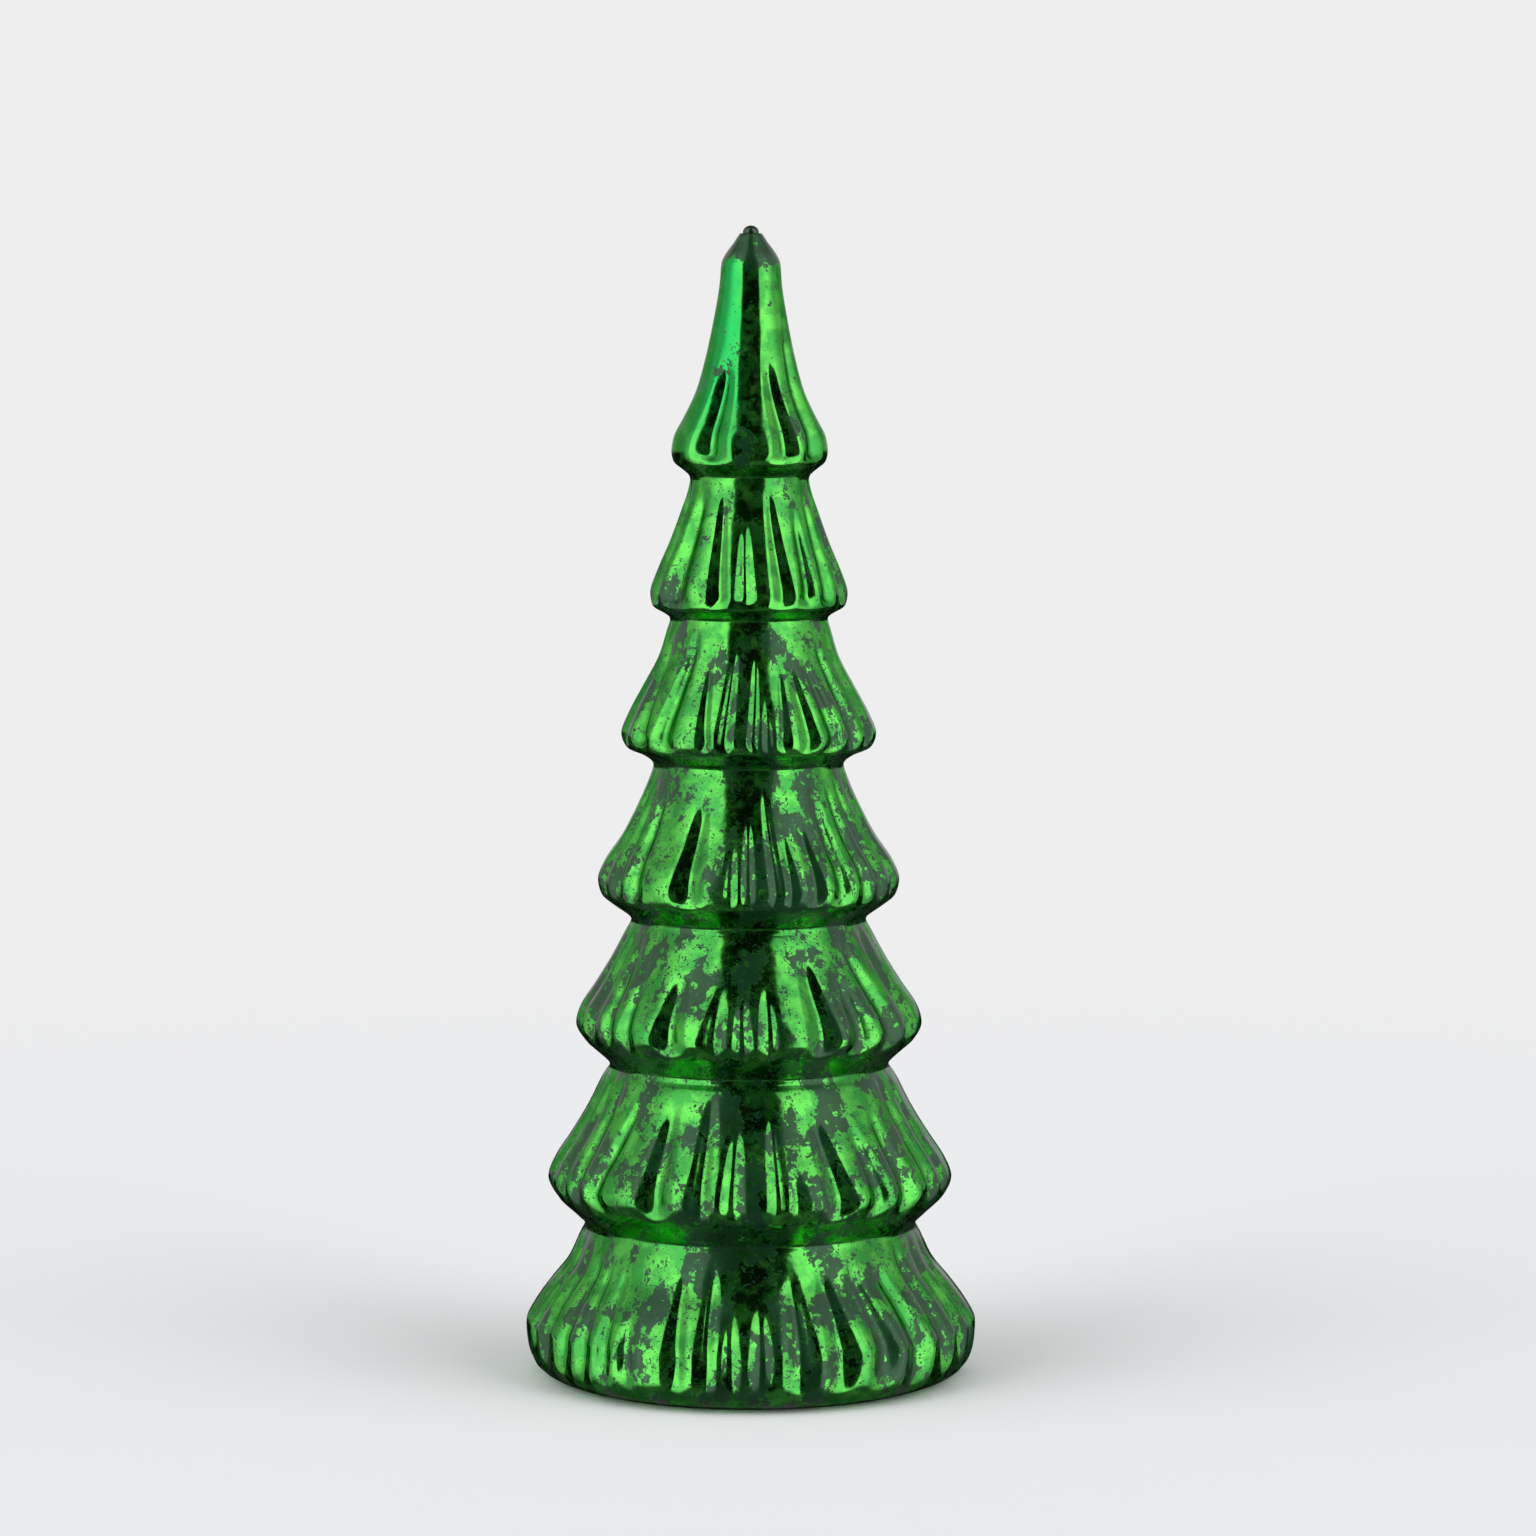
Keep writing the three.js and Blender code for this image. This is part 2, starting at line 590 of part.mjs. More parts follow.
const housing = () => {
  let body = solid(rod(flangeR, [FLOOR_Z, floorTopZ], 0, 0, CUP_SIDES));
  body = body.add(solid(rod(cupR, [FLOOR_Z, CUP_TOP_Z], 0, 0, CUP_SIDES))
    .subtract(solid(rod(cupInnerR, [floorTopZ, CUP_TOP_Z + CUT_PAST], 0, 0, CUP_SIDES))));
  body = body.add(solid(box([-PAD_HALF_X, PAD_HALF_X], PAD_Y, [FLOOR_Z, PAD_TOP_Z]))
    .intersect(solid(rod(cupInnerR + CUP_WALL / 4, [FLOOR_Z, CUP_TOP_Z], 0, 0, CUP_SIDES))));
  body = body.add(solid(box(
    around(0, bayHalfX + PLASTIC_WALL),
    around(BAY_CENTRE_Y, bayHalfY + PLASTIC_WALL),
    [FLOOR_Z, BAY_TOP_Z + PLASTIC_WALL],
  )));
  body = body.add(solid(rod(DOOR_POST_R, [floorTopZ, DOOR_POST_TOP_Z], 0, SCREW_Y)));
  [-BOARD_POST_Y, BOARD_POST_Y].forEach((y) => {
    const pilotZ = [BOARD_Z - BOARD_PILOT_DEPTH, BOARD_Z];
    body = body.add(solid(rod(BOARD_POST_R, [floorTopZ - JOIN, BOARD_Z - SEAT_GAP], boardCentreX, y)));
    body = body.subtract(solid(rod(pilotR, pilotZ, boardCentreX, y, PILOT_SIDES)));
  });
  lidScrewSpots.forEach(({ x, y }) => {
    body = body.add(solid(rod(LID_POST_R, [floorTopZ - JOIN, lidPostTopZ], x, y)));
    body = body.subtract(solid(rod(pilotR, [CUP_TOP_Z - LID_PILOT_DEPTH, CUP_TOP_Z], x, y, PILOT_SIDES)));
  });
  body = body.subtract(solid(box(
    around(0, DOOR_HALF_X + SLIDE_GAP),
    [DOOR_Y[0], DOOR_Y[1] + SLIDE_GAP],
    [FLOOR_Z - CUT_PAST, doorTopZ],
  )));
  body = body.subtract(solid(box(baySides, around(BAY_CENTRE_Y, bayHalfY), [FLOOR_Z, BAY_TOP_Z])));
  body = body.subtract(hookSlot(-1)).subtract(hookSlot(1));
  const bossRoomZ = [FLOOR_Z, screwBossTopZ + SEAT_GAP];
  body = body.subtract(solid(rod(DOOR_BOSS_R + DOOR_BOSS_GAP, bossRoomZ, 0, SCREW_Y)));
  body = body.subtract(solid(rod(postBoreR, [FLOOR_Z, DOOR_SCREW_TIP_Z + CUT_PAST], 0, SCREW_Y)));
  body = body.subtract(fingerNotch(FLOOR_Z + FINGER_NOTCH_DEPTH));
  body = body.subtract(solid(box(
    around(boardCentreX, slotHalfX),
    around(0, slotHalfY),
    [FLOOR_Z - CUT_PAST, floorTopZ + CUT_PAST],
  )));
  const tabSlot = (x, side) => solid(box(
    around(x, TAB_HALF_X + SLIDE_GAP),
    around(BAY_CENTRE_Y + side * (bayHalfY - TAB_SLOT_HALF_Y), TAB_SLOT_HALF_Y),
    [BAY_TOP_Z - CUT_PAST, BAY_TOP_Z + PLASTIC_WALL + CUT_PAST],
  ));
  body = body.subtract(tabSlot(CELL_PITCH, -1));
  body = body.subtract(tabSlot(-CELL_PITCH, 1));
  return body;
};
addPiece('base_housing', surface(housing()), BLACK_PLASTIC);

// Battery door with two hooks, grip grooves and the screw boss
const door = () => {
  const top = doorTopZ - SEAT_GAP;
  const leafY = [DOOR_Y[0] + SLIDE_GAP, DOOR_Y[1]];
  let body = solid(box([-DOOR_HALF_X, DOOR_HALF_X], leafY, [doorBottomZ, top]));
  [-1, 1].forEach((side) => {
    body = body.add(solid(box(
      around(side * HOOK_X, HOOK_HALF),
      [DOOR_Y[0] - HOOK_REACH, leafY[0] + JOIN],
      [top - HOOK_T, top],
    )));
  });
  body = body.add(solid(rod(DOOR_BOSS_R, [doorBottomZ, screwBossTopZ], 0, SCREW_Y)));
  const recessZ = [FLOOR_Z - CUT_PAST, doorBottomZ + DOOR_SCREW_RECESS + DOOR_SCREW_HEAD_T + SEAT_GAP];
  body = body.subtract(solid(rod(DOOR_SCREW_HEAD_R + SLIDE_GAP, recessZ, 0, SCREW_Y)));
  body = body.subtract(solid(rod(doorHoleR, [FLOOR_Z, screwBossTopZ + CUT_PAST], 0, SCREW_Y, PILOT_SIDES)));
  body = body.subtract(fingerNotch(doorBottomZ + FINGER_NOTCH_DOOR_DEPTH));
  for (let row = 0; row < GRIP_ROWS; row += 1) {
    body = body.subtract(solid(box(
      around(0, DOOR_HALF_X - GRIP_INSET_X),
      around((row - (GRIP_ROWS - 1) / 2) * GRIP_PITCH, GRIP_HALF_WIDTH),
      [doorBottomZ - CUT_PAST, doorBottomZ + GRIP_DEPTH],
    )));
  }
  return body;
};
addPiece('battery_door', surface(door()), BLACK_PLASTIC);

// Door screw
const doorScrewHeadBottomZ = doorBottomZ + DOOR_SCREW_RECESS;
const doorScrewHeadZ = [doorScrewHeadBottomZ, doorScrewHeadBottomZ + DOOR_SCREW_HEAD_T];
const collarZ = screwBossTopZ + DOOR_SCREW_TRAVEL + DOOR_SCREW_STOP_GAP;
const doorScrew = () => {
  const body = solid(turned([
    [0, doorScrewHeadZ[0]],
    [DOOR_SCREW_HEAD_R, doorScrewHeadZ[0]],
    [DOOR_SCREW_HEAD_R, doorScrewHeadZ[1]],
    [DOOR_SCREW_R, doorScrewHeadZ[1]],
    [DOOR_SCREW_R, collarZ],
    [DOOR_SCREW_COLLAR_R, collarZ],
    [DOOR_SCREW_COLLAR_R, collarZ + DOOR_SCREW_COLLAR_T],
    [DOOR_SCREW_R, collarZ + DOOR_SCREW_COLLAR_T],
    [DOOR_SCREW_R, DOOR_SCREW_TIP_Z - DOOR_SCREW_POINT],
    [0, DOOR_SCREW_TIP_Z],
  ], DOOR_SCREW_SIDES, 0, SCREW_Y));
  const slotZ = [doorScrewHeadZ[0] - CUT_PAST, doorScrewHeadZ[0] + DRIVE_SLOT_DEPTH];
  const arm = DOOR_SCREW_HEAD_R * DRIVE_SLOT_REACH;
  const cross = solid(box(around(0, arm), around(SCREW_Y, DRIVE_SLOT_W / 2), slotZ))
    .add(solid(box(around(0, DRIVE_SLOT_W / 2), around(SCREW_Y, arm), slotZ)));
  return body.subtract(cross);
};
addPiece('door_screw', surface(doorScrew()), DARK_STEEL);

// Cells: the first and third point their positive end to -y, the middle one to +y
const cellZ = doorTopZ + CELL_REST_GAP + CELL_R;
const contactFaceY = bayHalfY - SEAT_GAP - CONTACT_T;
const nubTipY = contactFaceY - SEAT_GAP;
const addCell = (name, x, facing) => {
  const body = CELL_LENGTH - CELL_NUB_T;
  const geometry = new THREE.LatheGeometry([
    [0, 0], [CELL_NUB_R, 0], [CELL_NUB_R, CELL_NUB_T], [CELL_R - CELL_EDGE, CELL_NUB_T],
    [CELL_R, CELL_NUB_T + CELL_EDGE], [CELL_R, CELL_NUB_T + body - CELL_EDGE],
    [CELL_R - CELL_EDGE, CELL_NUB_T + body], [0, CELL_NUB_T + body],
  ].map(([r, y]) => new THREE.Vector2(r, y)), CELL_SIDES);
  if (facing > 0) {
    geometry.rotateX(Math.PI);
  }
  geometry.translate(x, BAY_CENTRE_Y + facing * nubTipY, cellZ);
  addPiece(name, geometry, CELL_SLEEVE);
};
addCell('cell_1', CELL_PITCH, -1);
addCell('cell_2', 0, 1);
addCell('cell_3', -CELL_PITCH, -1);

// Contacts: plates with a conical spring where a negative cell end rests
const springTipY = CELL_LENGTH - nubTipY + SEAT_GAP;
const spring = (x, facing) => {
  const points = [];
  const count = SPRING_TURNS * SPRING_STEPS_PER_TURN;
  const from = contactFaceY + CONTACT_T / 2;
  const to = springTipY + SPRING_WIRE_R;
  for (let i = 0; i <= count; i += 1) {
    const t = i / count;
    const angle = 2 * Math.PI * SPRING_TURNS * t;
    const radius = THREE.MathUtils.lerp(SPRING_BASE_R, SPRING_END_R, t);
    points.push(new THREE.Vector3(
      x + radius * Math.cos(angle),
      BAY_CENTRE_Y + facing * THREE.MathUtils.lerp(from, to, t),
      cellZ + radius * Math.sin(angle),
    ));
  }
  return solid(swept(points, SPRING_WIRE_R, SPRING_SIDES, count));
};
const plate = (x, facing, z = CONTACT_Z) => {
  const y = around(BAY_CENTRE_Y + facing * (contactFaceY + CONTACT_T / 2), CONTACT_T / 2);
  return solid(box(x, y, z));
};
const tab = (x, facing) => plate(around(x, TAB_HALF_X), facing, [CONTACT_Z[0], TAB_TOP_Z]);

addPiece('positive_terminal', surface(
  plate(around(CELL_PITCH, CONTACT_HALF_X), -1).add(tab(CELL_PITCH, -1)),
), STEEL);
addPiece('bridge_contact_1', surface(
  plate([-CONTACT_HALF_X, CELL_PITCH + CONTACT_HALF_X], 1).add(spring(CELL_PITCH, 1)),
), STEEL);
addPiece('bridge_contact_2', surface(
  plate([-CELL_PITCH - CONTACT_HALF_X, CONTACT_HALF_X], -1).add(spring(0, -1)),
), STEEL);
addPiece('negative_terminal', surface(
  plate(around(-CELL_PITCH, CONTACT_HALF_X), 1).add(tab(-CELL_PITCH, 1)).add(spring(-CELL_PITCH, 1)),
), STEEL);

// Timer board with its parts
const boardTopZ = BOARD_Z + BOARD_T;
const timerBoard = () => {
  let body = solid(box(boardX, around(0, BOARD_HALF_Y), [BOARD_Z, boardTopZ]));
  [-BOARD_POST_Y, BOARD_POST_Y].forEach((y) => {
    const z = [BOARD_Z - CUT_PAST, boardTopZ + CUT_PAST];
    body = body.subtract(solid(rod(pilotR, z, boardCentreX, y, PILOT_SIDES)));
  });
  return body;
};
addPiece('timer_board', surface(timerBoard()), BOARD_BROWN);

const boardBlock = ({ x, y, w, l, t }) => box(
  around(boardCentreX + x, w / 2),
  around(y, l / 2),
  [boardTopZ, boardTopZ + t],
);
addPiece('timer_chip', boardBlock(CHIP), CHIP_BLACK);
addPiece('resistor', boardBlock(RESISTOR), CHIP_BLACK);
const capacitorZ = [boardTopZ + SEAT_GAP, boardTopZ + SEAT_GAP + CAPACITOR.height];
addPiece('capacitor', turned([
  [0, capacitorZ[0]],
  [CAPACITOR.r, capacitorZ[0]],
  [CAPACITOR.r, capacitorZ[1] - CAPACITOR.edge],
  [CAPACITOR.r - CAPACITOR.edge, capacitorZ[1]],
  [0, capacitorZ[1]],
], CAPACITOR.sides, boardCentreX + CAPACITOR.x, CAPACITOR.y), CAPACITOR_SLEEVE);
const crystal = new THREE.CylinderGeometry(CRYSTAL.r, CRYSTAL.r, CRYSTAL.length, CRYSTAL.sides);
crystal.translate(boardCentreX + CRYSTAL.x, CRYSTAL.y, boardTopZ + SEAT_GAP + CRYSTAL.r);
addPiece('crystal', crystal, STEEL);

const panScrew = (spot, headZ, headR, length) => turned([
  [0, headZ - length],
  [SMALL_SCREW_R * 0.4, headZ - length],
  [SMALL_SCREW_R, headZ - length + SMALL_SCREW_POINT],
  [SMALL_SCREW_R, headZ],
  [headR, headZ],
  [headR, headZ + SMALL_SCREW_HEAD_T * 0.5],
  [headR * 0.7, headZ + SMALL_SCREW_HEAD_T],
  [0, headZ + SMALL_SCREW_HEAD_T],
], SMALL_SCREW_SIDES, spot.x, spot.y);

[-BOARD_POST_Y, BOARD_POST_Y].forEach((y, i) => {
  const spot = { x: boardCentreX, y };
  const geometry = panScrew(spot, boardTopZ + SEAT_GAP, SMALL_SCREW_HEAD_R, BOARD_SCREW_LENGTH);
  addPiece(`board_screw_${i + 1}`, geometry, DARK_STEEL);
});

// Slide switch: a can with its slot to the floor, and the slider with its knob
const switchCan = () => {
  const wall = SWITCH_CAN_WALL;
  const shell = solid(box(
    around(boardCentreX, SWITCH_CAN_HALF[0]),
    around(0, SWITCH_CAN_HALF[1]),
    SWITCH_CAN_Z,
  ));
  const hollow = solid(box(
    around(boardCentreX, SWITCH_CAN_HALF[0] - wall),
    around(0, SWITCH_CAN_HALF[1] - wall),
    [SWITCH_CAN_Z[0] + wall, SWITCH_CAN_Z[1] - wall],
  ));
  const slot = solid(box(
    around(boardCentreX, SLIDER_STEM_HALF[0] + SEAT_GAP),
    around(0, SLIDER_STEM_HALF[1] + SWITCH_TRAVEL + SEAT_GAP),
    [SWITCH_CAN_Z[0] - CUT_PAST, SWITCH_CAN_Z[0] + CUT_PAST],
  ));
  return shell.subtract(hollow).subtract(slot);
};
addPiece('switch_can', surface(switchCan()), STEEL);

const switchSlider = () => {
  const inset = SWITCH_CAN_WALL + SEAT_GAP;
  const blockZ = [SWITCH_CAN_Z[0] + inset, SWITCH_CAN_Z[1] - inset];
  let body = solid(box(
    around(boardCentreX, SLIDER_BLOCK_HALF[0]),
    around(0, SLIDER_BLOCK_HALF[1]),
    blockZ,
  ));
  body = body.add(solid(box(
    around(boardCentreX, SLIDER_STEM_HALF[0]),
    around(0, SLIDER_STEM_HALF[1]),
    [SLIDER_KNOB_Z[1] - JOIN, blockZ[0] + JOIN],
  )));
  body = body.add(solid(box(
    around(boardCentreX, SLIDER_KNOB_HALF[0]),
    around(0, SLIDER_KNOB_HALF[1]),
    SLIDER_KNOB_Z,
  )));
  for (let i = 0; i < SLIDER_GROOVES; i += 1) {
    const y = (i - (SLIDER_GROOVES - 1) / 2) * SLIDER_GROOVE_PITCH;
    body = body.subtract(solid(box(
      around(boardCentreX, SLIDER_KNOB_HALF[0] + CUT_PAST),
      around(y, SLIDER_GROOVE_HALF_WIDTH),
      [SLIDER_KNOB_Z[0] - CUT_PAST, SLIDER_KNOB_Z[0] + SLIDER_GROOVE_DEPTH],
    )));
  }
  return body;
};
addPiece('switch_slider', surface(switchSlider()), SWITCH_PLASTIC);

// Lid with the mast socket
const lidZ = [CUP_TOP_Z + SEAT_GAP, CUP_TOP_Z + SEAT_GAP + LID_T];
const housingLid = () => {
  const spigotZ = [lidZ[0] - LID_SPIGOT_T, lidZ[0] + JOIN];
  const throughZ = [spigotZ[0] - CUT_PAST, lidZ[1] + CUT_PAST];
  let body = solid(rod(cupR, lidZ, 0, 0, CUP_SIDES));
  body = body.add(solid(rod(cupInnerR - SLIDE_GAP, spigotZ, 0, 0, CUP_SIDES)));
  body = body.add(solid(rod(MAST_SOCKET_R, [lidZ[0], MAST_SOCKET_TOP_Z])));
  body = body.subtract(solid(rod(MAST_R + SEAT_GAP, [MAST_SEAT_Z, MAST_SOCKET_TOP_Z + CUT_PAST])));
  body = body.subtract(solid(rod(LID_WIRE_HOLE_R, throughZ, LID_WIRE_HOLE_X, 0, PILOT_SIDES)));
  lidScrewSpots.forEach(({ x, y }) => {
    body = body.subtract(solid(rod(pilotR, throughZ, x, y, PILOT_SIDES)));
  });
  return body;
};
addPiece('housing_lid', surface(housingLid()), BLACK_PLASTIC);

lidScrewSpots.forEach((spot, i) => {
  const geometry = panScrew(spot, lidZ[1] + SEAT_GAP, LID_SCREW_HEAD_R, LID_SCREW_LENGTH);
  addPiece(`lid_screw_${i + 1}`, geometry, DARK_STEEL);
});

// Light mast and its cap
const mastZ = [MAST_SEAT_Z + SEAT_GAP, MAST_TOP_Z];
addPiece('light_mast', turned([
  [MAST_BORE_R, mastZ[0]],
  [MAST_R, mastZ[0]],
  [MAST_R, mastZ[1]],
  [MAST_BORE_R, mastZ[1]],
  [MAST_BORE_R, mastZ[0]],
], MAST_SIDES), CLEAR_PLASTIC);
const capZ = MAST_TOP_Z + SEAT_GAP;
addPiece('mast_cap', turned([
  [0, capZ - MAST_SPIGOT_LENGTH],
  [MAST_BORE_R - SEAT_GAP, capZ - MAST_SPIGOT_LENGTH],
  [MAST_BORE_R - SEAT_GAP, capZ],
  [MAST_CAP_R, capZ],
  [MAST_CAP_R, capZ + MAST_CAP_T * 0.6],
  [MAST_CAP_R * 0.8, capZ + MAST_CAP_T],
  [0, capZ + MAST_CAP_T],
], MAST_SIDES), CLEAR_PLASTIC);

// Light wire: from the board through the lid and round the mast
const coilR = MAST_R + COIL_GAP + WIRE_R;
const coilPoint = (t) => {
  const bearing = 90 + 360 * COIL_TURNS * t;
  return place(coilR, bearing, THREE.MathUtils.lerp(COIL_Z[0], COIL_Z[1], t));
};
const wirePath = () => {
  const wireBoardZ = boardTopZ + WIRE_R + WIRE_BOARD_GAP;
  const points = WIRE_FROM_BOARD.map(([x, y, z]) => new THREE.Vector3(boardCentreX + x, y, wireBoardZ + z));
  points.push(new THREE.Vector3(LID_WIRE_HOLE_X, 0, CUP_TOP_Z));
  WIRE_ABOVE_LID.forEach(([x, y, z]) => points.push(new THREE.Vector3(x, y, lidZ[1] + z)));
  const count = COIL_TURNS * COIL_STEPS_PER_TURN;
  for (let i = 0; i <= count; i += 1) {
    points.push(coilPoint(i / count));
  }
  return points;
};
const wirePoints = wirePath();
addPiece('light_wire', swept(wirePoints, WIRE_R, WIRE_SIDES, wirePoints.length + WIRE_LEAD_STEPS), COPPER);

for (let i = 0; i < LED_COUNT; i += 1) {
  const t = (i + 0.5) / LED_COUNT;
  const geometry = new THREE.SphereGeometry(LED_R, ...LED_FACETS);
  geometry.scale(1, 1, LED_LENGTH / (2 * LED_R));
  const onWire = coilPoint(t);
  const out = (coilR + WIRE_R + SEAT_GAP + LED_R) / coilR;
  geometry.translate(onWire.x * out, onWire.y * out, onWire.z);
  addPiece(`led_${i + 1}`, geometry, LED_RESIN);
}

// Battery leads from the terminal tabs to the board
const addLead = (name, cellX, side, way, look) => {
  const tabY = BAY_CENTRE_Y + side * (contactFaceY - LEAD_R - SEAT_GAP);
  const start = new THREE.Vector3(cellX, tabY, TAB_TOP_Z - LEAD_END_BELOW_TAB);
  const rest = way.map(([x, y, z]) => new THREE.Vector3(boardCentreX + x, y, boardTopZ + z));
  addPiece(name, swept([start, ...rest], LEAD_R, LEAD_SIDES, LEAD_STEPS), look);
};
addLead('lead_red', CELL_PITCH, -1, RED_LEAD_WAY, RED_LEAD);
addLead('lead_black', -CELL_PITCH, 1, BLACK_LEAD_WAY, BLACK_LEAD);

export default root;
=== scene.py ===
"""Seven-tier LED christmas tree of silvered green glass on a battery base.

Metres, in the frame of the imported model: the tree stands on z = 0 with its axis on z, and the
photographed side faces -y. A bearing is counted in degrees from -y towards +x. Sizes that end
in _mm are millimetres.
"""

import logging
import math
from collections.abc import Iterable, Mapping, Sequence
from dataclasses import dataclass, field
from enum import Enum
from typing import Any, NamedTuple, Protocol

import bmesh
import bpy
import numpy as np
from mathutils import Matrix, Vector, noise


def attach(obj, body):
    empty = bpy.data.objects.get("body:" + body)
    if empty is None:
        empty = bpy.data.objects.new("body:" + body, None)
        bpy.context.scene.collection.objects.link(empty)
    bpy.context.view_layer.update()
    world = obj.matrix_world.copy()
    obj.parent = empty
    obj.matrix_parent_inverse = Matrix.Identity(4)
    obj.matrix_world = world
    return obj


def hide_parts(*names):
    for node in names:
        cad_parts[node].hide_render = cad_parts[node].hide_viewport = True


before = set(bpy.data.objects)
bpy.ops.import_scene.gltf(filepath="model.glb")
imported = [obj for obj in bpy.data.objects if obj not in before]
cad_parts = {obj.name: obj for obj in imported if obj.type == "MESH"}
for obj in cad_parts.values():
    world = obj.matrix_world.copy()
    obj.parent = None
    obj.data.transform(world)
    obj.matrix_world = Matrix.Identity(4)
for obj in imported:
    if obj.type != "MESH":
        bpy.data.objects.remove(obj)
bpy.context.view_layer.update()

LOG = logging.getLogger("led_christmas_tree")
MM = 0.001
SAME_PLACE_MM = 0.001

Colour = tuple[float, float, float, float]
Socket = bpy.types.NodeSocket
Tree = bpy.types.NodeTree


class Body(Enum):
    """Moving part that the new pieces ride on."""

    TREE = "tree"


class Slot(Enum):
    """Names of the material slots that new pieces are built for; nothing reads them."""

    SILVERED_GLASS = "silvered_glass"
    PLUG_GLASS = "plug_glass"
    SEALANT = "sealant"


class Ramp(NamedTuple):
    """Goes from low to high as a value goes from start to end, and is level past both.

    Its fields are in the order of a Map Range node's sockets.
    """

    start: float = 0.0
    end: float = 1.0
    low: float = 0.0
    high: float = 1.0


class Spots(NamedTuple):
    """Round spots, one at most to a cell, in a share of the cells.

    The largest radius and the width of a ring's line are parts of the cell. A spot with no ring
    is full.
    """

    cell_mm: float
    share: float
    radius: float
    ring: float = 0.0


def srgb(code: str) -> Colour:
    """Turns an sRGB hex colour to linear light.

    Args:
        code: six hex digits after a hash sign.

    Returns:
        Red, green, blue and alpha, linear.
    """
    channels = (int(code[i : i + 2], 16) / 255 for i in (1, 3, 5))
    linear = [c / 12.92 if c <= 0.04045 else ((c + 0.055) / 1.055) ** 2.4 for c in channels]
    return (linear[0], linear[1], linear[2], 1.0)


def darker(colour: Colour, share: float) -> Colour:
    """Takes a share of a colour's light away."""
    red, green, blue = (channel * (1 - share) for channel in colour[:3])
    return (red, green, blue, 1.0)


def smooth_step(t: np.ndarray | float) -> np.ndarray | float:
    """Eases from 0 to 1 as t goes from 0 to 1."""
    t = np.clip(t, 0.0, 1.0)
    return t * t * (3.0 - 2.0 * t)


def feed(tree: Tree, node: bpy.types.Node, inputs: Mapping[str | int, Any]) -> None:
    """Sets or links sockets of a node.

    Args:
        tree: the node's tree.
        node: the node.
        inputs: for each socket, by name or number, the value it holds or the socket that feeds it.
    """
    for key, value in inputs.items():
        if isinstance(value, Socket):
            tree.links.new(value, node.inputs[key])
        else:
            node.inputs[key].default_value = value


def add_node(
    tree: Tree, kind: str, inputs: Mapping[str | int, Any] | Sequence[Any] = (), **settings: Any,
) -> bpy.types.Node:
    """Adds a node with its settings, values and links.

    Args:
        tree: node tree that gets the node.
        kind: the node's type name, without ShaderNode.
        inputs: what its sockets hold or are fed by, with their names or numbers or in their order.
        **settings: the node's own attributes.

    Returns:
        The new node.
    """
    node = tree.nodes.new(f"ShaderNode{kind}")
    for name, value in settings.items():
        setattr(node, name, value)
    feed(tree, node, inputs if isinstance(inputs, Mapping) else dict(enumerate(inputs)))
    return node


def emptied(holder: bpy.types.Material | bpy.types.World) -> Tree:
    """Gives a material or world an empty node tree."""
    holder.use_nodes = True
    holder.node_tree.nodes.clear()
    return holder.node_tree


def new_material(name: str) -> tuple[bpy.types.Material, Tree, bpy.types.Node]:
    """Makes a node material.

    Args:
        name: the material's name.

    Returns:
        The material, its node tree, and its Principled shader, already joined to the output.
    """
    material = bpy.data.materials.new(name)
    tree = emptied(material)
    shader = add_node(tree, "BsdfPrincipled")
    add_node(tree, "OutputMaterial", {"Surface": shader.outputs["BSDF"]})
    return material, tree, shader


def new_object(bm: bmesh.types.BMesh, name: str) -> bpy.types.Object:
    """Puts an object with a bmesh's shape in the scene, and frees the bmesh."""
    mesh = bpy.data.meshes.new(name)
    bm.to_mesh(mesh)
    bm.free()
    made = bpy.data.objects.new(name, mesh)
    bpy.context.scene.collection.objects.link(made)
    return made


def finish_piece(bm: bmesh.types.BMesh, name: str, body: Body, slot: Slot, replaced: str) -> bpy.types.Object:
    """Turns a bmesh into a smooth piece that rides on its body and stands for a node.

    Args:
        bm: the closed mesh, in metres and in place. It is freed here.
        name: the piece's name.
        body: what the piece rides on.
        slot: the material slot the finish belongs to; not used.
        replaced: the node the piece stands for.

    Returns:
        The new object.
    """
    bmesh.ops.recalc_face_normals(bm, faces=bm.faces)
    for face in bm.faces:
        face.smooth = True
    piece = new_object(bm, name)
    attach(piece, body.value)
    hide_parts(replaced)
    return piece


def spun(section: Sequence[tuple[float, float]], steps: int, closed: bool) -> bmesh.types.BMesh:
    """Spins a section round the tree's axis.

    Args:
        section: radius and height of each point, in millimetres.
        steps: columns in the full turn.
        closed: whether the last point joins the first.

    Returns:
        The spun mesh, with its seam and poles closed.
    """
    bm = bmesh.new()
    points = [bm.verts.new((radius * MM, 0.0, height * MM)) for radius, height in section]
    ends = [(points[-1], points[0])] if closed else []
    edges = [bm.edges.new(pair) for pair in [*zip(points, points[1:]), *ends]]
    bmesh.ops.spin(
        bm,
        geom=[*points, *edges],
        cent=(0.0, 0.0, 0.0),
        axis=(0.0, 0.0, 1.0),
        angle=math.tau,
        steps=steps,
        use_merge=True,
    )
    bmesh.ops.remove_doubles(bm, verts=bm.verts, dist=SAME_PLACE_MM * MM)
    return bm


class Finish(Protocol):
    """A finish that can make its material."""

    def material(self) -> bpy.types.Material:
        """Makes the node material of this finish."""


def dress(nodes: Iterable[str], finish: Finish) -> None:
    """Gives CAD nodes a finish.

    Args:
        nodes: names of the nodes.
        finish: what they are finished in.
    """
    material = finish.material()
    for name in nodes:
        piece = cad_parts[name]
        if piece.material_slots:
            for slot in piece.material_slots:
                slot.material = material
        else:
            piece.data.materials.append(material)
        LOG.info("dressed %s in %s", name, material.name)


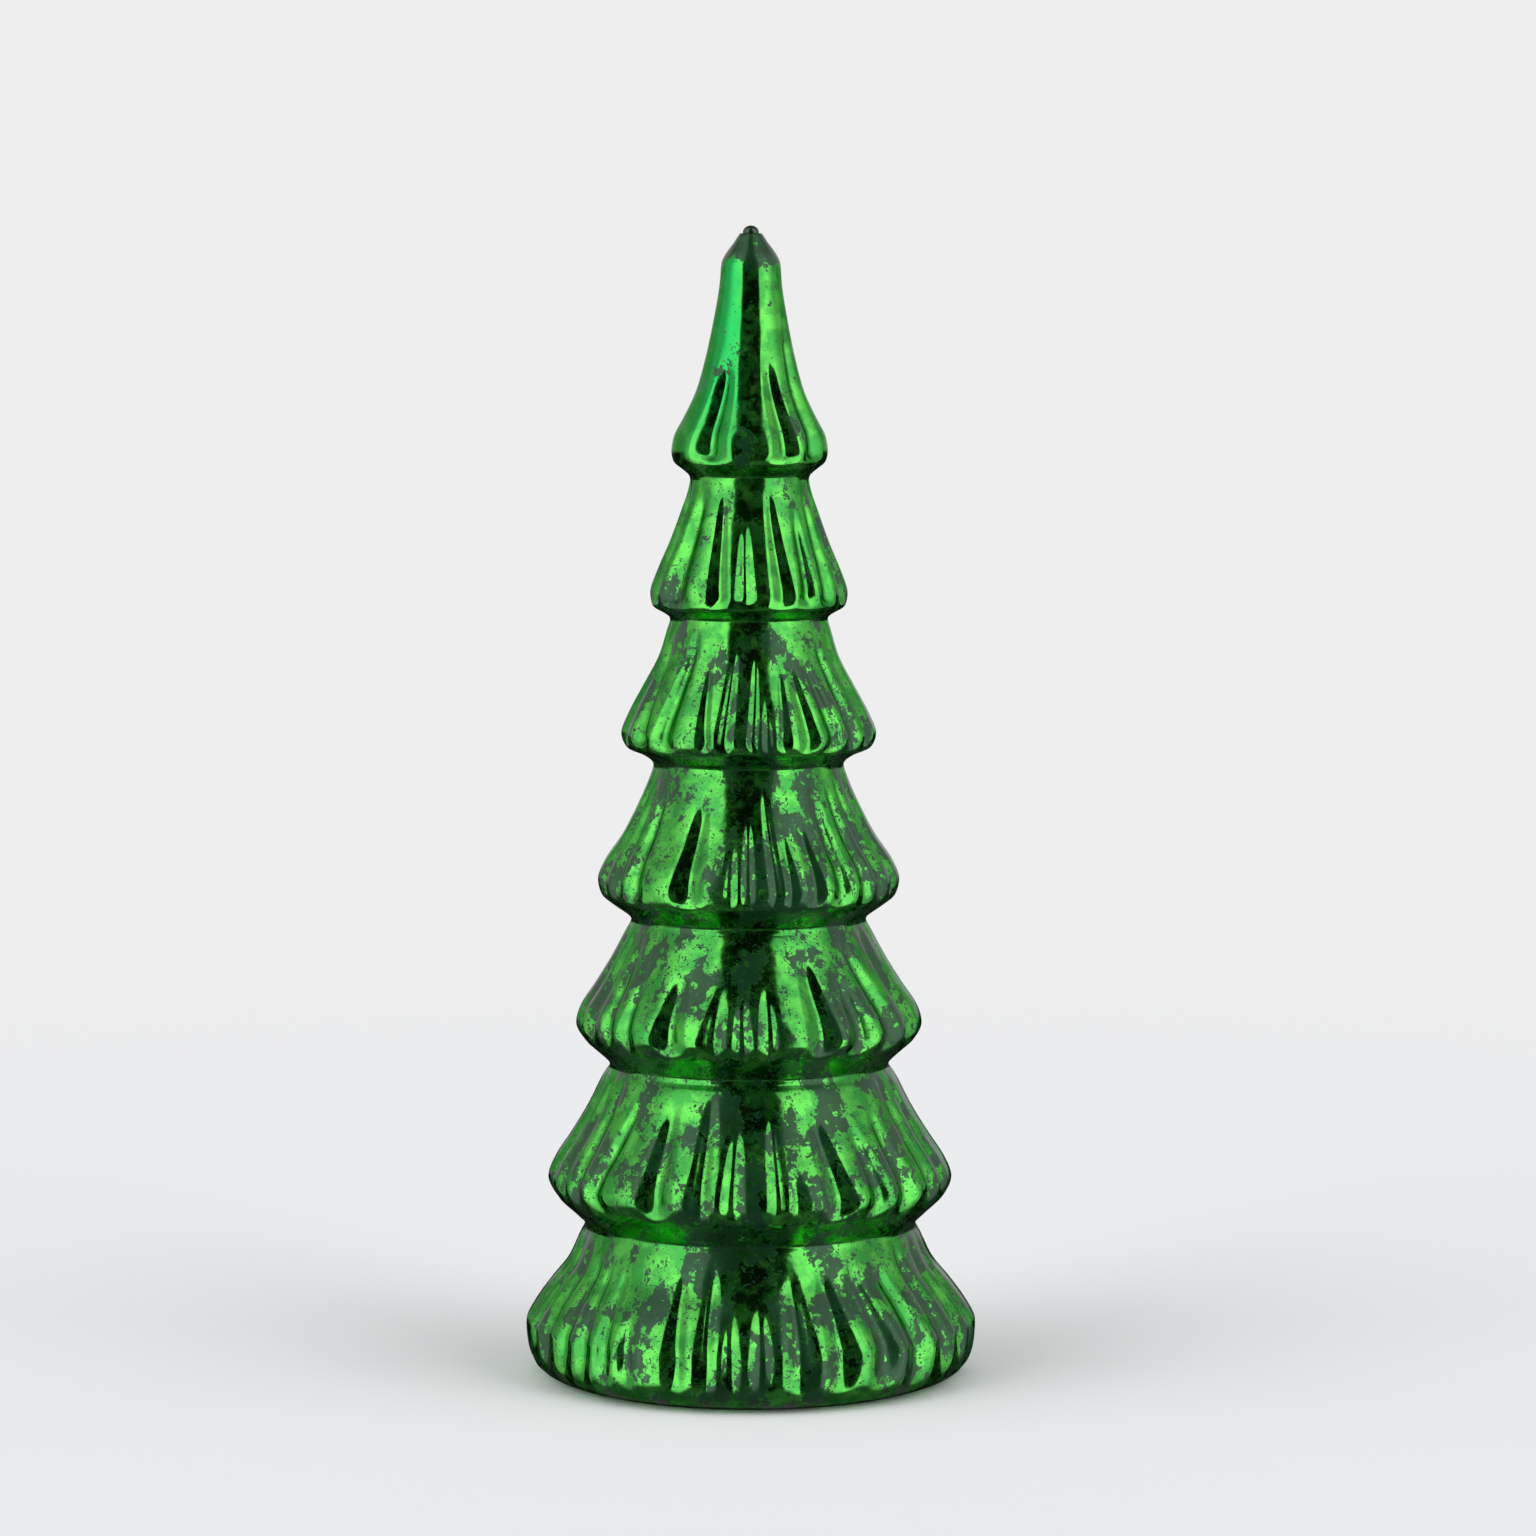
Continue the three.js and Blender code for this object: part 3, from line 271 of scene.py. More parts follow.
@dataclass(frozen=True)
class SilveredGlass:
    """Green glass, blown in a mould and silvered inside, with the silver eaten away in places.

    The silver gives a green mirror. Where it is gone the eye looks into dull dark glass: ragged
    islands with drops of silver left in them, and round bubbles, rings and pinholes about them.
    More is gone low down and on the right. The tip was never silvered. Ramps by height and side
    are in millimetres.
    """

    silver: str = "#48A63C"
    silver_thin: str = "#2C8430"
    # painted reflection: cooler green standing for the left lamp's mirror image on the left of the top tier
    painted_cool_reflection: str = "#0F9640"
    edge: str = "#7CC58C"
    bare: str = "#123C1E"
    bare_deep: str = "#07190A"
    silver_roughness: float = 0.12
    bare_roughness: float = 0.30
    ior: float = 1.5
    specular: float = 0.8
    coat: float = 0.25
    coat_roughness: float = 0.03
    detail: float = 4.0
    fineness: float = 0.6
    cloud_mm: float = 6.0
    cloud_thickness: Ramp = Ramp(0.42, 0.60)
    haze_mm: float = 4.0
    haze_mirror: Ramp = Ramp(0.62, 0.45, 0.82)
    ragged_mm: float = 1.3
    ragged_reach: float = 3.0
    ripple_mm: float = 6.0
    ripple_height_mm: float = 0.12
    # where the painted cooler reflection green goes: high up, and on the left
    painted_cool_by_height: Ramp = Ramp(256.0, 280.0)
    painted_cool_by_side: Ramp = Ramp(1.0, -5.0)
    zone_mm: float = 34.0
    gone_by_zone: Ramp = Ramp(0.36, 0.64, 0.0, 0.50)
    gone_by_side: Ramp = Ramp(-40.0, 35.0, 0.45, 0.85)
    gone_by_height: Ramp = Ramp(275.0, 150.0, 0.12)
    gone_at_tip: Ramp = Ramp(311.0, 319.0, 0.0, 2.6)
    island_mm: float = 8.5
    island_stretch: float = 2.3
    island_level: Ramp = Ramp(low=0.33, high=0.49)
    island_edge: Ramp = Ramp(-0.008, 0.008)
    near_islands: Ramp = Ramp(-0.14, 0.0, 0.03, 0.62)
    drops: tuple[Spots, ...] = (Spots(2.4, 0.40, 0.46), Spots(1.5, 0.45, 0.44), Spots(0.9, 0.40, 0.44))
    bubbles: tuple[Spots, ...] = (
        Spots(4.4, 0.45, 0.36), Spots(3.96, 0.30, 0.40, 0.07), Spots(1.5, 0.8, 0.40),
        Spots(0.9, 1.0, 0.42), Spots(0.55, 1.0, 0.42),
    )
    smallest_spot: float = 0.4
    spot_edge: float = 0.02

    def material(self) -> bpy.types.Material:
        """Makes the node material of this finish."""
        material, tree, shader = new_material("silvered green glass")
        place = add_node(tree, "TexCoord").outputs["Object"]
        mm = add_node(tree, "VectorMath", {0: place, "Scale": 1 / MM}, operation="SCALE").outputs[0]
        ragged = self._ragged(tree, mm)
        gone = self._gone(tree, ragged, self._density(tree, mm))
        inputs = {"Vector": ragged, "Scale": 1 / self.cloud_mm, "Detail": self.detail}
        cloud = add_node(tree, "TexNoise", inputs).outputs["Fac"]
        thick = add_node(tree, "MapRange", (cloud, *self.cloud_thickness)).outputs[0]
        film: Any = srgb(self.silver_thin)
        # the second mix paints the left lamp's cooler reflection green onto the left of the top tier
        for share, other in ((thick, self.silver), (self._painted_cool_reflection(tree, mm), self.painted_cool_reflection)):
            inputs = {"Factor": share, 6: film, 7: srgb(other)}
            film = add_node(tree, "Mix", inputs, data_type="RGBA").outputs[2]
        inputs = {"Factor": cloud, 6: srgb(self.bare_deep), 7: srgb(self.bare)}
        glass = add_node(tree, "Mix", inputs, data_type="RGBA").outputs[2]
        colour = add_node(tree, "Mix", {"Factor": gone, 6: film, 7: glass}, data_type="RGBA").outputs[2]
        inputs = {"Vector": ragged, "Scale": 1 / self.haze_mm, "Detail": self.detail}
        haze = add_node(tree, "TexNoise", {**inputs, "Roughness": self.fineness}).outputs["Fac"]
        opaque = add_node(tree, "MapRange", (haze, *self.haze_mirror)).outputs[0]
        left = add_node(tree, "Math", (1.0, gone), operation="SUBTRACT").outputs[0]
        mirror = add_node(tree, "Math", (left, opaque), operation="MULTIPLY").outputs[0]
        roughness = Ramp(low=self.silver_roughness, high=self.bare_roughness)
        ripple = add_node(tree, "TexNoise", {"Vector": mm, "Scale": 1 / self.ripple_mm}).outputs["Fac"]
        bump = add_node(tree, "Bump", {"Height": ripple, "Distance": self.ripple_height_mm * MM})
        feed(tree, shader, {
            "Base Color": colour,
            "Metallic": mirror,
            "Roughness": add_node(tree, "MapRange", (gone, *roughness)).outputs[0],
            "Normal": bump.outputs["Normal"],
            "IOR": self.ior,
            "Specular IOR Level": self.specular,
            "Specular Tint": srgb(self.edge),
            "Coat Weight": self.coat,
            "Coat Roughness": self.coat_roughness,
            "Coat IOR": self.ior,
        })
        return material

    def _ragged(self, tree: Tree, mm: Socket) -> Socket:
        """Shifts the place by noise, so that edges of the silver are ragged.

        Args:
            tree: the material's node tree.
            mm: place in millimetres.

        Returns:
            The shifted place.
        """
        inputs = {"Vector": mm, "Scale": 0.5 / self.ragged_mm, "Detail": self.detail}
        wobble = add_node(tree, "TexNoise", inputs).outputs["Color"]
        centred = add_node(tree, "VectorMath", (wobble, (0.5, 0.5, 0.5)), operation="SUBTRACT").outputs[0]
        inputs = {0: centred, "Scale": self.ragged_reach * self.ragged_mm}
        scaled = add_node(tree, "VectorMath", inputs, operation="SCALE").outputs[0]
        return add_node(tree, "VectorMath", (mm, scaled), operation="ADD").outputs[0]

    def _painted_cool_reflection(self, tree: Tree, mm: Socket) -> Socket:
        """Share of a painted reflection colour: cooler green painted on the left of the top tier, where the
        left lamp's mirror image looks cooler.

        Args:
            tree: the material's node tree.
            mm: place in millimetres.

        Returns:
            The share, from 0 to 1.
        """
        axes = add_node(tree, "SeparateXYZ", (mm,)).outputs
        high = add_node(tree, "MapRange", (axes["Z"], *self.painted_cool_by_height)).outputs[0]
        on_left = add_node(tree, "MapRange", (axes["X"], *self.painted_cool_by_side)).outputs[0]
        return add_node(tree, "Math", (high, on_left), operation="MULTIPLY").outputs[0]

    def _density(self, tree: Tree, mm: Socket) -> Socket:
        """How much silver is gone round a place.

        Args:
            tree: the material's node tree.
            mm: place in millimetres.

        Returns:
            The share, more low down and on the right, and past 1 at the tip.
        """
        axes = add_node(tree, "SeparateXYZ", (mm,)).outputs
        inputs = {"Vector": mm, "Scale": 1 / self.zone_mm, "Detail": 1.0}
        zone = add_node(tree, "TexNoise", inputs).outputs["Fac"]
        by_side, by_zone, by_height, at_tip = (
            add_node(tree, "MapRange", (value, *ramp)).outputs[0]
            for value, ramp in (
                (axes["X"], self.gone_by_side), (zone, self.gone_by_zone),
                (axes["Z"], self.gone_by_height), (axes["Z"], self.gone_at_tip),
            )
        )
        spread = add_node(tree, "Math", (by_side, by_zone), operation="ADD").outputs[0]
        total = add_node(tree, "Math", (spread, by_height), operation="MULTIPLY", use_clamp=True).outputs[0]
        return add_node(tree, "Math", (total, at_tip), operation="ADD").outputs[0]

    def _gone(self, tree: Tree, ragged: Socket, density: Socket) -> Socket:
        """Where the silver is gone, 0 or 1 with a narrow edge.

        Args:
            tree: the material's node tree.
            ragged: shifted place in millimetres.
            density: how much is gone there.

        Returns:
            Islands, less the drops of silver left in them, with bubbles, rings and pinholes.
        """
        inputs = {"Vector": ragged, "Scale": (1.0, 1.0, 1 / self.island_stretch)}
        run = add_node(tree, "Mapping", inputs).outputs[0]
        inputs = {"Vector": run, "Scale": 1 / self.island_mm, "Detail": self.detail}
        island = add_node(tree, "TexNoise", {**inputs, "Roughness": self.fineness}).outputs["Fac"]
        level = add_node(tree, "MapRange", (density, *self.island_level), clamp=False).outputs[0]
        above = add_node(tree, "Math", (level, island), operation="SUBTRACT").outputs[0]
        gone = add_node(tree, "MapRange", (above, *self.island_edge)).outputs[0]
        for spots in self.drops:
            drops = self._discs(tree, ragged, spots, spots.share)
            kept = add_node(tree, "Math", (1.0, drops), operation="SUBTRACT").outputs[0]
            gone = add_node(tree, "Math", (gone, kept), operation="MULTIPLY").outputs[0]
        near = add_node(tree, "MapRange", (above, *self.near_islands)).outputs[0]
        for spots in self.bubbles:
            share = add_node(tree, "Math", (near, spots.share), operation="MULTIPLY").outputs[0]
            bubbles = self._discs(tree, ragged, spots, share)
            gone = add_node(tree, "Math", (gone, bubbles), operation="MAXIMUM").outputs[0]
        return gone

    def _discs(self, tree: Tree, place: Socket, spots: Spots, share: Socket | float) -> Socket:
        """Scattered round spots.

        Args:
            tree: the material's node tree.
            place: place in millimetres.
            spots: size of the spots.
            share: share of the cells that hold one here.

        Returns:
            1 in a spot, 0 outside.
        """
        cells = add_node(tree, "TexVoronoi", {"Vector": place, "Scale": 1 / spots.cell_mm})
        chance = add_node(tree, "SeparateColor", (cells.outputs["Color"],)).outputs
        sizes = Ramp(low=spots.radius * self.smallest_spot, high=spots.radius)
        reach = add_node(tree, "MapRange", (chance["Red"], *sizes)).outputs[0]
        depth = add_node(tree, "Math", (reach, cells.outputs["Distance"]), operation="SUBTRACT").outputs[0]
        spot = add_node(tree, "MapRange", (depth, -self.spot_edge, self.spot_edge)).outputs[0]
        if spots.ring:
            rim = Ramp(spots.ring + self.spot_edge, spots.ring - self.spot_edge)
            line = add_node(tree, "MapRange", (depth, *rim)).outputs[0]
            spot = add_node(tree, "Math", (spot, line), operation="MULTIPLY").outputs[0]
        chosen = add_node(tree, "Math", (chance["Green"], share), operation="LESS_THAN").outputs[0]
        return add_node(tree, "Math", (spot, chosen), operation="MULTIPLY").outputs[0]


@dataclass(frozen=True)
class DarkGlass:
    """Solid drop of dark green glass, fire polished: smooth, deep and almost black."""

    colour: str = "#0C1F11"
    streak: str = "#16361C"
    streak_mm: float = 10 / 7
    roughness: float = 0.08
    ior: float = 1.52

    def material(self) -> bpy.types.Material:
        """Makes the node material of this finish."""
        material, tree, shader = new_material("dark green drop glass")
        place = add_node(tree, "TexCoord").outputs["Object"]
        streaks = add_node(tree, "TexNoise", {"Vector": place, "Scale": 1 / (self.streak_mm * MM)})
        inputs = {"Factor": streaks.outputs["Fac"], 6: srgb(self.colour), 7: srgb(self.streak)}
        colour = add_node(tree, "Mix", inputs, data_type="RGBA").outputs[2]
        feed(tree, shader, {"Base Color": colour, "Roughness": self.roughness, "IOR": self.ior})
        return material


@dataclass(frozen=True)
class Moulded:
    """Injection moulded plastic or poured rubber, with the fine grain of a spark-eroded mould.

    The grain makes it matt. It is drawn coarser than it is, or it wouldn't show.
    """

    name: str
    colour: str
    roughness: float = 0.55
    roughness_spread: float = 0.08
    grain_mm: float = 0.5
    grain_height_mm: float = 0.03
    grain_detail: float = 3.0
    mottle: float = 0.15
    mottle_mm: float = 100 / 9

    def material(self) -> bpy.types.Material:
        """Makes the node material of this finish."""
        material, tree, shader = new_material(self.name)
        place = add_node(tree, "TexCoord").outputs["Object"]
        inputs = {"Vector": place, "Scale": 1 / (self.grain_mm * MM), "Detail": self.grain_detail}
        grain = add_node(tree, "TexNoise", inputs).outputs["Fac"]
        inputs = {"Vector": place, "Scale": 1 / (self.mottle_mm * MM)}
        patches = add_node(tree, "TexNoise", inputs).outputs["Fac"]
        base = srgb(self.colour)
        inputs = {"Factor": patches, 6: base, 7: darker(base, self.mottle)}
        rough = Ramp(low=self.roughness - self.roughness_spread, high=self.roughness + self.roughness_spread)
        bump = add_node(tree, "Bump", {"Height": grain, "Distance": self.grain_height_mm * MM})
        feed(tree, shader, {
            "Base Color": add_node(tree, "Mix", inputs, data_type="RGBA").outputs[2],
            "Roughness": add_node(tree, "MapRange", (patches, *rough)).outputs[0],
            "Normal": bump.outputs["Normal"],
        })
        return material


@dataclass(frozen=True)
class Plated:
    """Plated or drawn metal, with fine lines from drawing or turning, which dull it a little."""

    name: str
    colour: str
    roughness: float = 0.28
    smoother: float = 0.08
    rougher: float = 0.1
    line_mm: float = 0.25
    line_dulling: float = 0.2
    along: tuple[float, float, float] = (1.0, 1.0, 0.08)

    def material(self) -> bpy.types.Material:
        """Makes the node material of this finish."""
        material, tree, shader = new_material(self.name)
        place = add_node(tree, "TexCoord").outputs["Object"]
        drawn = add_node(tree, "Mapping", {"Vector": place, "Scale": self.along}).outputs[0]
        inputs = {"Vector": drawn, "Scale": 1 / (self.line_mm * MM)}
        lines = add_node(tree, "TexNoise", inputs).outputs["Fac"]
        base = srgb(self.colour)
        inputs = {"Factor": lines, 6: base, 7: darker(base, self.line_dulling)}
        rough = Ramp(low=self.roughness - self.smoother, high=self.roughness + self.rougher)
        feed(tree, shader, {
            "Base Color": add_node(tree, "Mix", inputs, data_type="RGBA").outputs[2],
            "Roughness": add_node(tree, "MapRange", (lines, *rough)).outputs[0],
            "Metallic": 1.0,
        })
        return material


@dataclass(frozen=True)
class CellSleeve:
    """Dry cell: a printed film sleeve shrunk over the can, with bare nickel-plated ends.

    The cells lie along y, so a face that looks along y is an end.
    """

    sleeve: str = "#2D5FA8"
    end: str = "#C2C4C6"
    end_facing: float = 0.6
    scuff_mm: float = 2.5
    scuff_detail: float = 3.0
    scuffed: float = 0.25
    roughness: float = 0.32

    def material(self) -> bpy.types.Material:
        """Makes the node material of this finish."""
        material, tree, shader = new_material("dry cell sleeve and ends")
        place = add_node(tree, "TexCoord").outputs["Object"]
        inputs = {"Vector": place, "Scale": 1 / (self.scuff_mm * MM), "Detail": self.scuff_detail}
        scuffs = add_node(tree, "TexNoise", inputs).outputs["Fac"]
        facing = add_node(tree, "SeparateXYZ", (add_node(tree, "NewGeometry").outputs["Normal"],))
        tilt = add_node(tree, "Math", (facing.outputs["Y"],), operation="ABSOLUTE").outputs[0]
        is_end = add_node(tree, "Math", (tilt, self.end_facing), operation="GREATER_THAN").outputs[0]
        base = srgb(self.sleeve)
        inputs = {"Factor": scuffs, 6: base, 7: darker(base, self.scuffed)}
        sleeve = add_node(tree, "Mix", inputs, data_type="RGBA").outputs[2]
        inputs = {"Factor": is_end, 6: sleeve, 7: srgb(self.end)}
        colour = add_node(tree, "Mix", inputs, data_type="RGBA").outputs[2]
        feed(tree, shader, {"Base Color": colour, "Metallic": is_end, "Roughness": self.roughness})
        return material


@dataclass(frozen=True)
class ClearMoulded:
    """Clear moulded or cast plastic: colourless, glossy, faintly cloudy."""

    name: str
    colour: str
    roughness: float = 0.12
    smoothest: float = 0.6
    roughest: float = 1.6
    cloud_mm: float = 10 / 3
    transmission: float = 0.85
    ior: float = 1.49

    def material(self) -> bpy.types.Material:
        """Makes the node material of this finish."""
        material, tree, shader = new_material(self.name)
        place = add_node(tree, "TexCoord").outputs["Object"]
        inputs = {"Vector": place, "Scale": 1 / (self.cloud_mm * MM)}
        cloud = add_node(tree, "TexNoise", inputs).outputs["Fac"]
        rough = Ramp(low=self.roughness * self.smoothest, high=self.roughness * self.roughest)
        feed(tree, shader, {
            "Base Color": srgb(self.colour),
            "Roughness": add_node(tree, "MapRange", (cloud, *rough)).outputs[0],
            "IOR": self.ior,
            "Transmission Weight": self.transmission,
        })
        return material


@dataclass(frozen=True)
class Tier:
    """One tier of the tree, in millimetres and degrees.

    The creases are those of the photographed half, each with its bearing at the lip, its bearing
    at its top, and how far it reaches up the flank. The other half repeats them. A crease is a
    V with a soft bottom that widens from its top down to the lip, and runs out below the lip. In
    the necks the columns of the mesh go back to even steps, where each meets its column of the
    next tier.
    """

    lip: float
    top: float
    profile: tuple[tuple[float, float], ...]
    creases: tuple[tuple[float, float, float], ...]
    widest_flank: float = 7.5
    flank_angle: float = 29.0
    valley: float = 0.22
    shoulder: float = 0.2
    width_at_top: float = 0.35
    fade_in: float = 6.0

    def crease_table(self) -> np.ndarray:
        """Creases all round.

        Returns:
            For each crease its bearing at the lip, bearing at its top, height of its start, and
            width of its flanks at the lip.
        """
        half = np.array(self.creases)
        full = np.vstack([half, half + (180.0, 180.0, 0.0)])
        pads = np.radians(np.diff(np.append(full[:, 0], full[0, 0] + 360.0))) * dict(self.profile)[self.lip]
        room = np.minimum(pads, np.roll(pads, 1)) / 2
        start = self.lip + full[:, 2] * (self.top - self.lip)
        return np.column_stack([full[:, 0], full[:, 1], start, np.minimum(self.widest_flank, room)])

    def columns_at(
        self, z: float, radius: float, count: int, necks: tuple[float, float],
    ) -> tuple[np.ndarray, np.ndarray]:
        """Where the shell's columns run at a height, with a column on every crease.

        Args:
            z: height.
            radius: radius of the profile there.
            count: columns in the full turn.
            necks: heights of the necks below and above the tier.

        Returns:
            Bearing of each column, and how far it steps in from the profile.
        """
        low, high, start, width = self.crease_table().T
        rise = min(1.0, max(0.0, (z - self.lip) / (self.top - self.lip)))
        bearing = low + (high - low) * rise
        below = smooth_step((self.lip - z) / (self.lip - necks[0]))
        above = smooth_step((z - self.top) / (necks[1] - self.top))
        grown = np.clip((start - z) / (start - self.lip), 0.0, 1.0)
        width = width * (self.width_at_top + (1 - self.width_at_top) * grown)
        fade = smooth_step((start - z) / self.fade_in) * (1 - below)
        steepness = math.tan(math.radians(self.flank_angle)) * (1 - (self.valley + self.shoulder) / 2)
        depth = steepness * width * fade
        at = np.round((low + high) / 2 / 360.0 * count).astype(int)
        bearings = np.zeros(count)
        steps = np.zeros(count)
        for crease in range(len(at)):
            after = (crease + 1) % len(at)
            lap = 0 if after else 1
            columns = at[after] + lap * count - at[crease]
            across = np.arange(columns) / columns
            turn = bearing[after] + lap * 360.0 - bearing[crease]
            arc = math.radians(turn) * radius
            near = self._flank(across * arc / width[crease]) * depth[crease]
            far = self._flank((1 - across) * arc / width[after]) * depth[after]
            index = (at[crease] + np.arange(columns)) % count
            bearings[index] = bearing[crease] + turn * across
            steps[index] = near + far
        even = np.arange(count) * 360.0 / count
        turns = (even - bearings + 180.0) % 360.0 - 180.0
        return bearings + turns * (below + above), steps

    def _flank(self, away: np.ndarray) -> np.ndarray:
        """Height of a crease's flank: a straight slope with a soft valley and a soft shoulder.

        Args:
            away: distance from the crease, as part of the flank's width.

        Returns:
            Depth there, as part of the depth in the valley.
        """
        u = np.clip(away, 0.0, 1.0)
        past_valley = np.where(u < self.valley, u**2 / (2 * self.valley), u - self.valley / 2)
        over = np.clip(u - (1 - self.shoulder), 0.0, None)
        risen = past_valley - over**2 / (2 * self.shoulder)
        return 1 - risen / (1 - (self.valley + self.shoulder) / 2)


TIERS = (
    Tier(
        262.5, 315.2,
        ((320.9, 4.8), (318.0, 7.0), (315.2, 8.4), (309.5, 8.8), (299.5, 10.4), (288.1, 12.8),
         (279.6, 15.2), (271.0, 19.3), (266.8, 21.5), (262.5, 22.2), (259.6, 21.6), (257.4, 19.0),
         (255.1, 16.8)),
        ((-33, -25, 0.5), (29, 15, 0.5), (57, 60, 0.66)),
    ),
    Tier(
        222.6, 255.1,
        ((252.5, 17.2), (245.5, 19.5), (236.9, 22.6), (228.4, 26.2), (222.6, 28.0), (219.0, 27.3),
         (217.0, 24.0), (215.5, 22.2)),
        ((-78, -76, 1), (-50, -46, 0.9), (-18, -24, 0.9), (-2, -4, 0.66), (21, 17, 0.88),
         (37, 41, 0.75), (53, 59, 0.9), (75, 76, 1)),
    ),
    Tier(
        182.8, 215.5,
        ((213.0, 23.0), (205.5, 25.2), (197.0, 29.6), (188.4, 34.2), (182.8, 36.2), (179.2, 34.8),
         (177.1, 30.0), (174.2, 26.8)),
        ((-80, -80, 1), (-58, -68, 0.9), (-42, -38, 0.9), (-20, -26, 0.68), (-11, -8, 0.77),
         (2, 6, 0.75), (9, 10, 0.38), (16, 20, 0.62), (29, 24, 0.68), (43, 34, 0.7),
         (56, 52, 0.9), (72, 70, 1)),
    ),
    Tier(
        141.5, 174.2,
        ((171.5, 27.6), (162.9, 31.3), (154.3, 35.8), (146.5, 41.0), (141.5, 42.8), (137.5, 41.8),
         (134.4, 38.1), (130.1, 33.2)),
        ((-76, -76, 1), (-61, -66, 0.9), (-49, -54, 0.9), (-24, -24, 0.75), (-7, -7, 0.4),
         (0, 0, 0.66), (11, 8, 0.85), (17, 15, 0.5), (27, 25, 0.6), (39, 38, 0.85),
         (51, 50, 0.9), (61, 60, 1), (75, 75, 1)),
    ),
    Tier(
        100.8, 130.1,
        ((127.5, 34.6), (120.0, 38.6), (111.6, 43.8), (104.5, 48.3), (100.8, 49.2), (96.6, 47.2),
         (92.6, 42.8), (88.8, 39.5)),
        ((-80, -80, 1), (-66, -68, 1), (-54, -58, 0.9), (-45, -46, 0.6), (-28, -27, 0.62),
         (-12, -9, 0.45), (-2, -3, 0.45), (7, 7, 0.52), (26, 23, 0.76), (41, 36, 0.6),
         (56, 47, 0.95), (70, 66, 1)),
    ),
    Tier(
        56.9, 88.8,
        ((86.0, 41.4), (77.4, 45.8), (68.9, 51.0), (61.5, 55.8), (56.9, 57.5), (52.4, 55.6),
         (47.5, 50.6), (43.3, 47.0)),
        ((-80, -80, 1), (-68, -68, 1), (-59, -59, 1), (-50, -43, 0.87), (-28, -29, 0.79),
         (-14, -14, 0.85), (-5, -4, 0.66), (8, 8, 0.75), (14, 13, 0.3), (27, 22, 0.72),
         (40, 36, 0.65), (51, 48, 0.75), (64, 62, 1), (74, 73, 1)),
    ),
    Tier(
        15.4, 43.3,
        ((40.4, 48.5), (33.3, 51.8), (26.2, 57.5), (19.5, 62.2), (15.4, 64.1), (9.1, 63.6),
         (4.6, 62.0), (1.6, 58.6), (0.0, 54.0)),
        ((-82, -82, 1), (-74, -74, 1), (-65, -66, 1), (-55, -58, 0.9), (-47, -52, 0.8),
         (-40, -44, 0.8), (-33, -36, 0.38), (-19, -22, 0.81), (-11, -12, 0.85), (-5, -6, 0.45),
         (3, 3, 0.52), (13, 13, 0.74), (24, 23, 0.81), (37, 33, 0.81), (48, 44, 0.81),
         (59, 57, 1), (69, 68, 1), (79, 78, 1)),
    ),
)


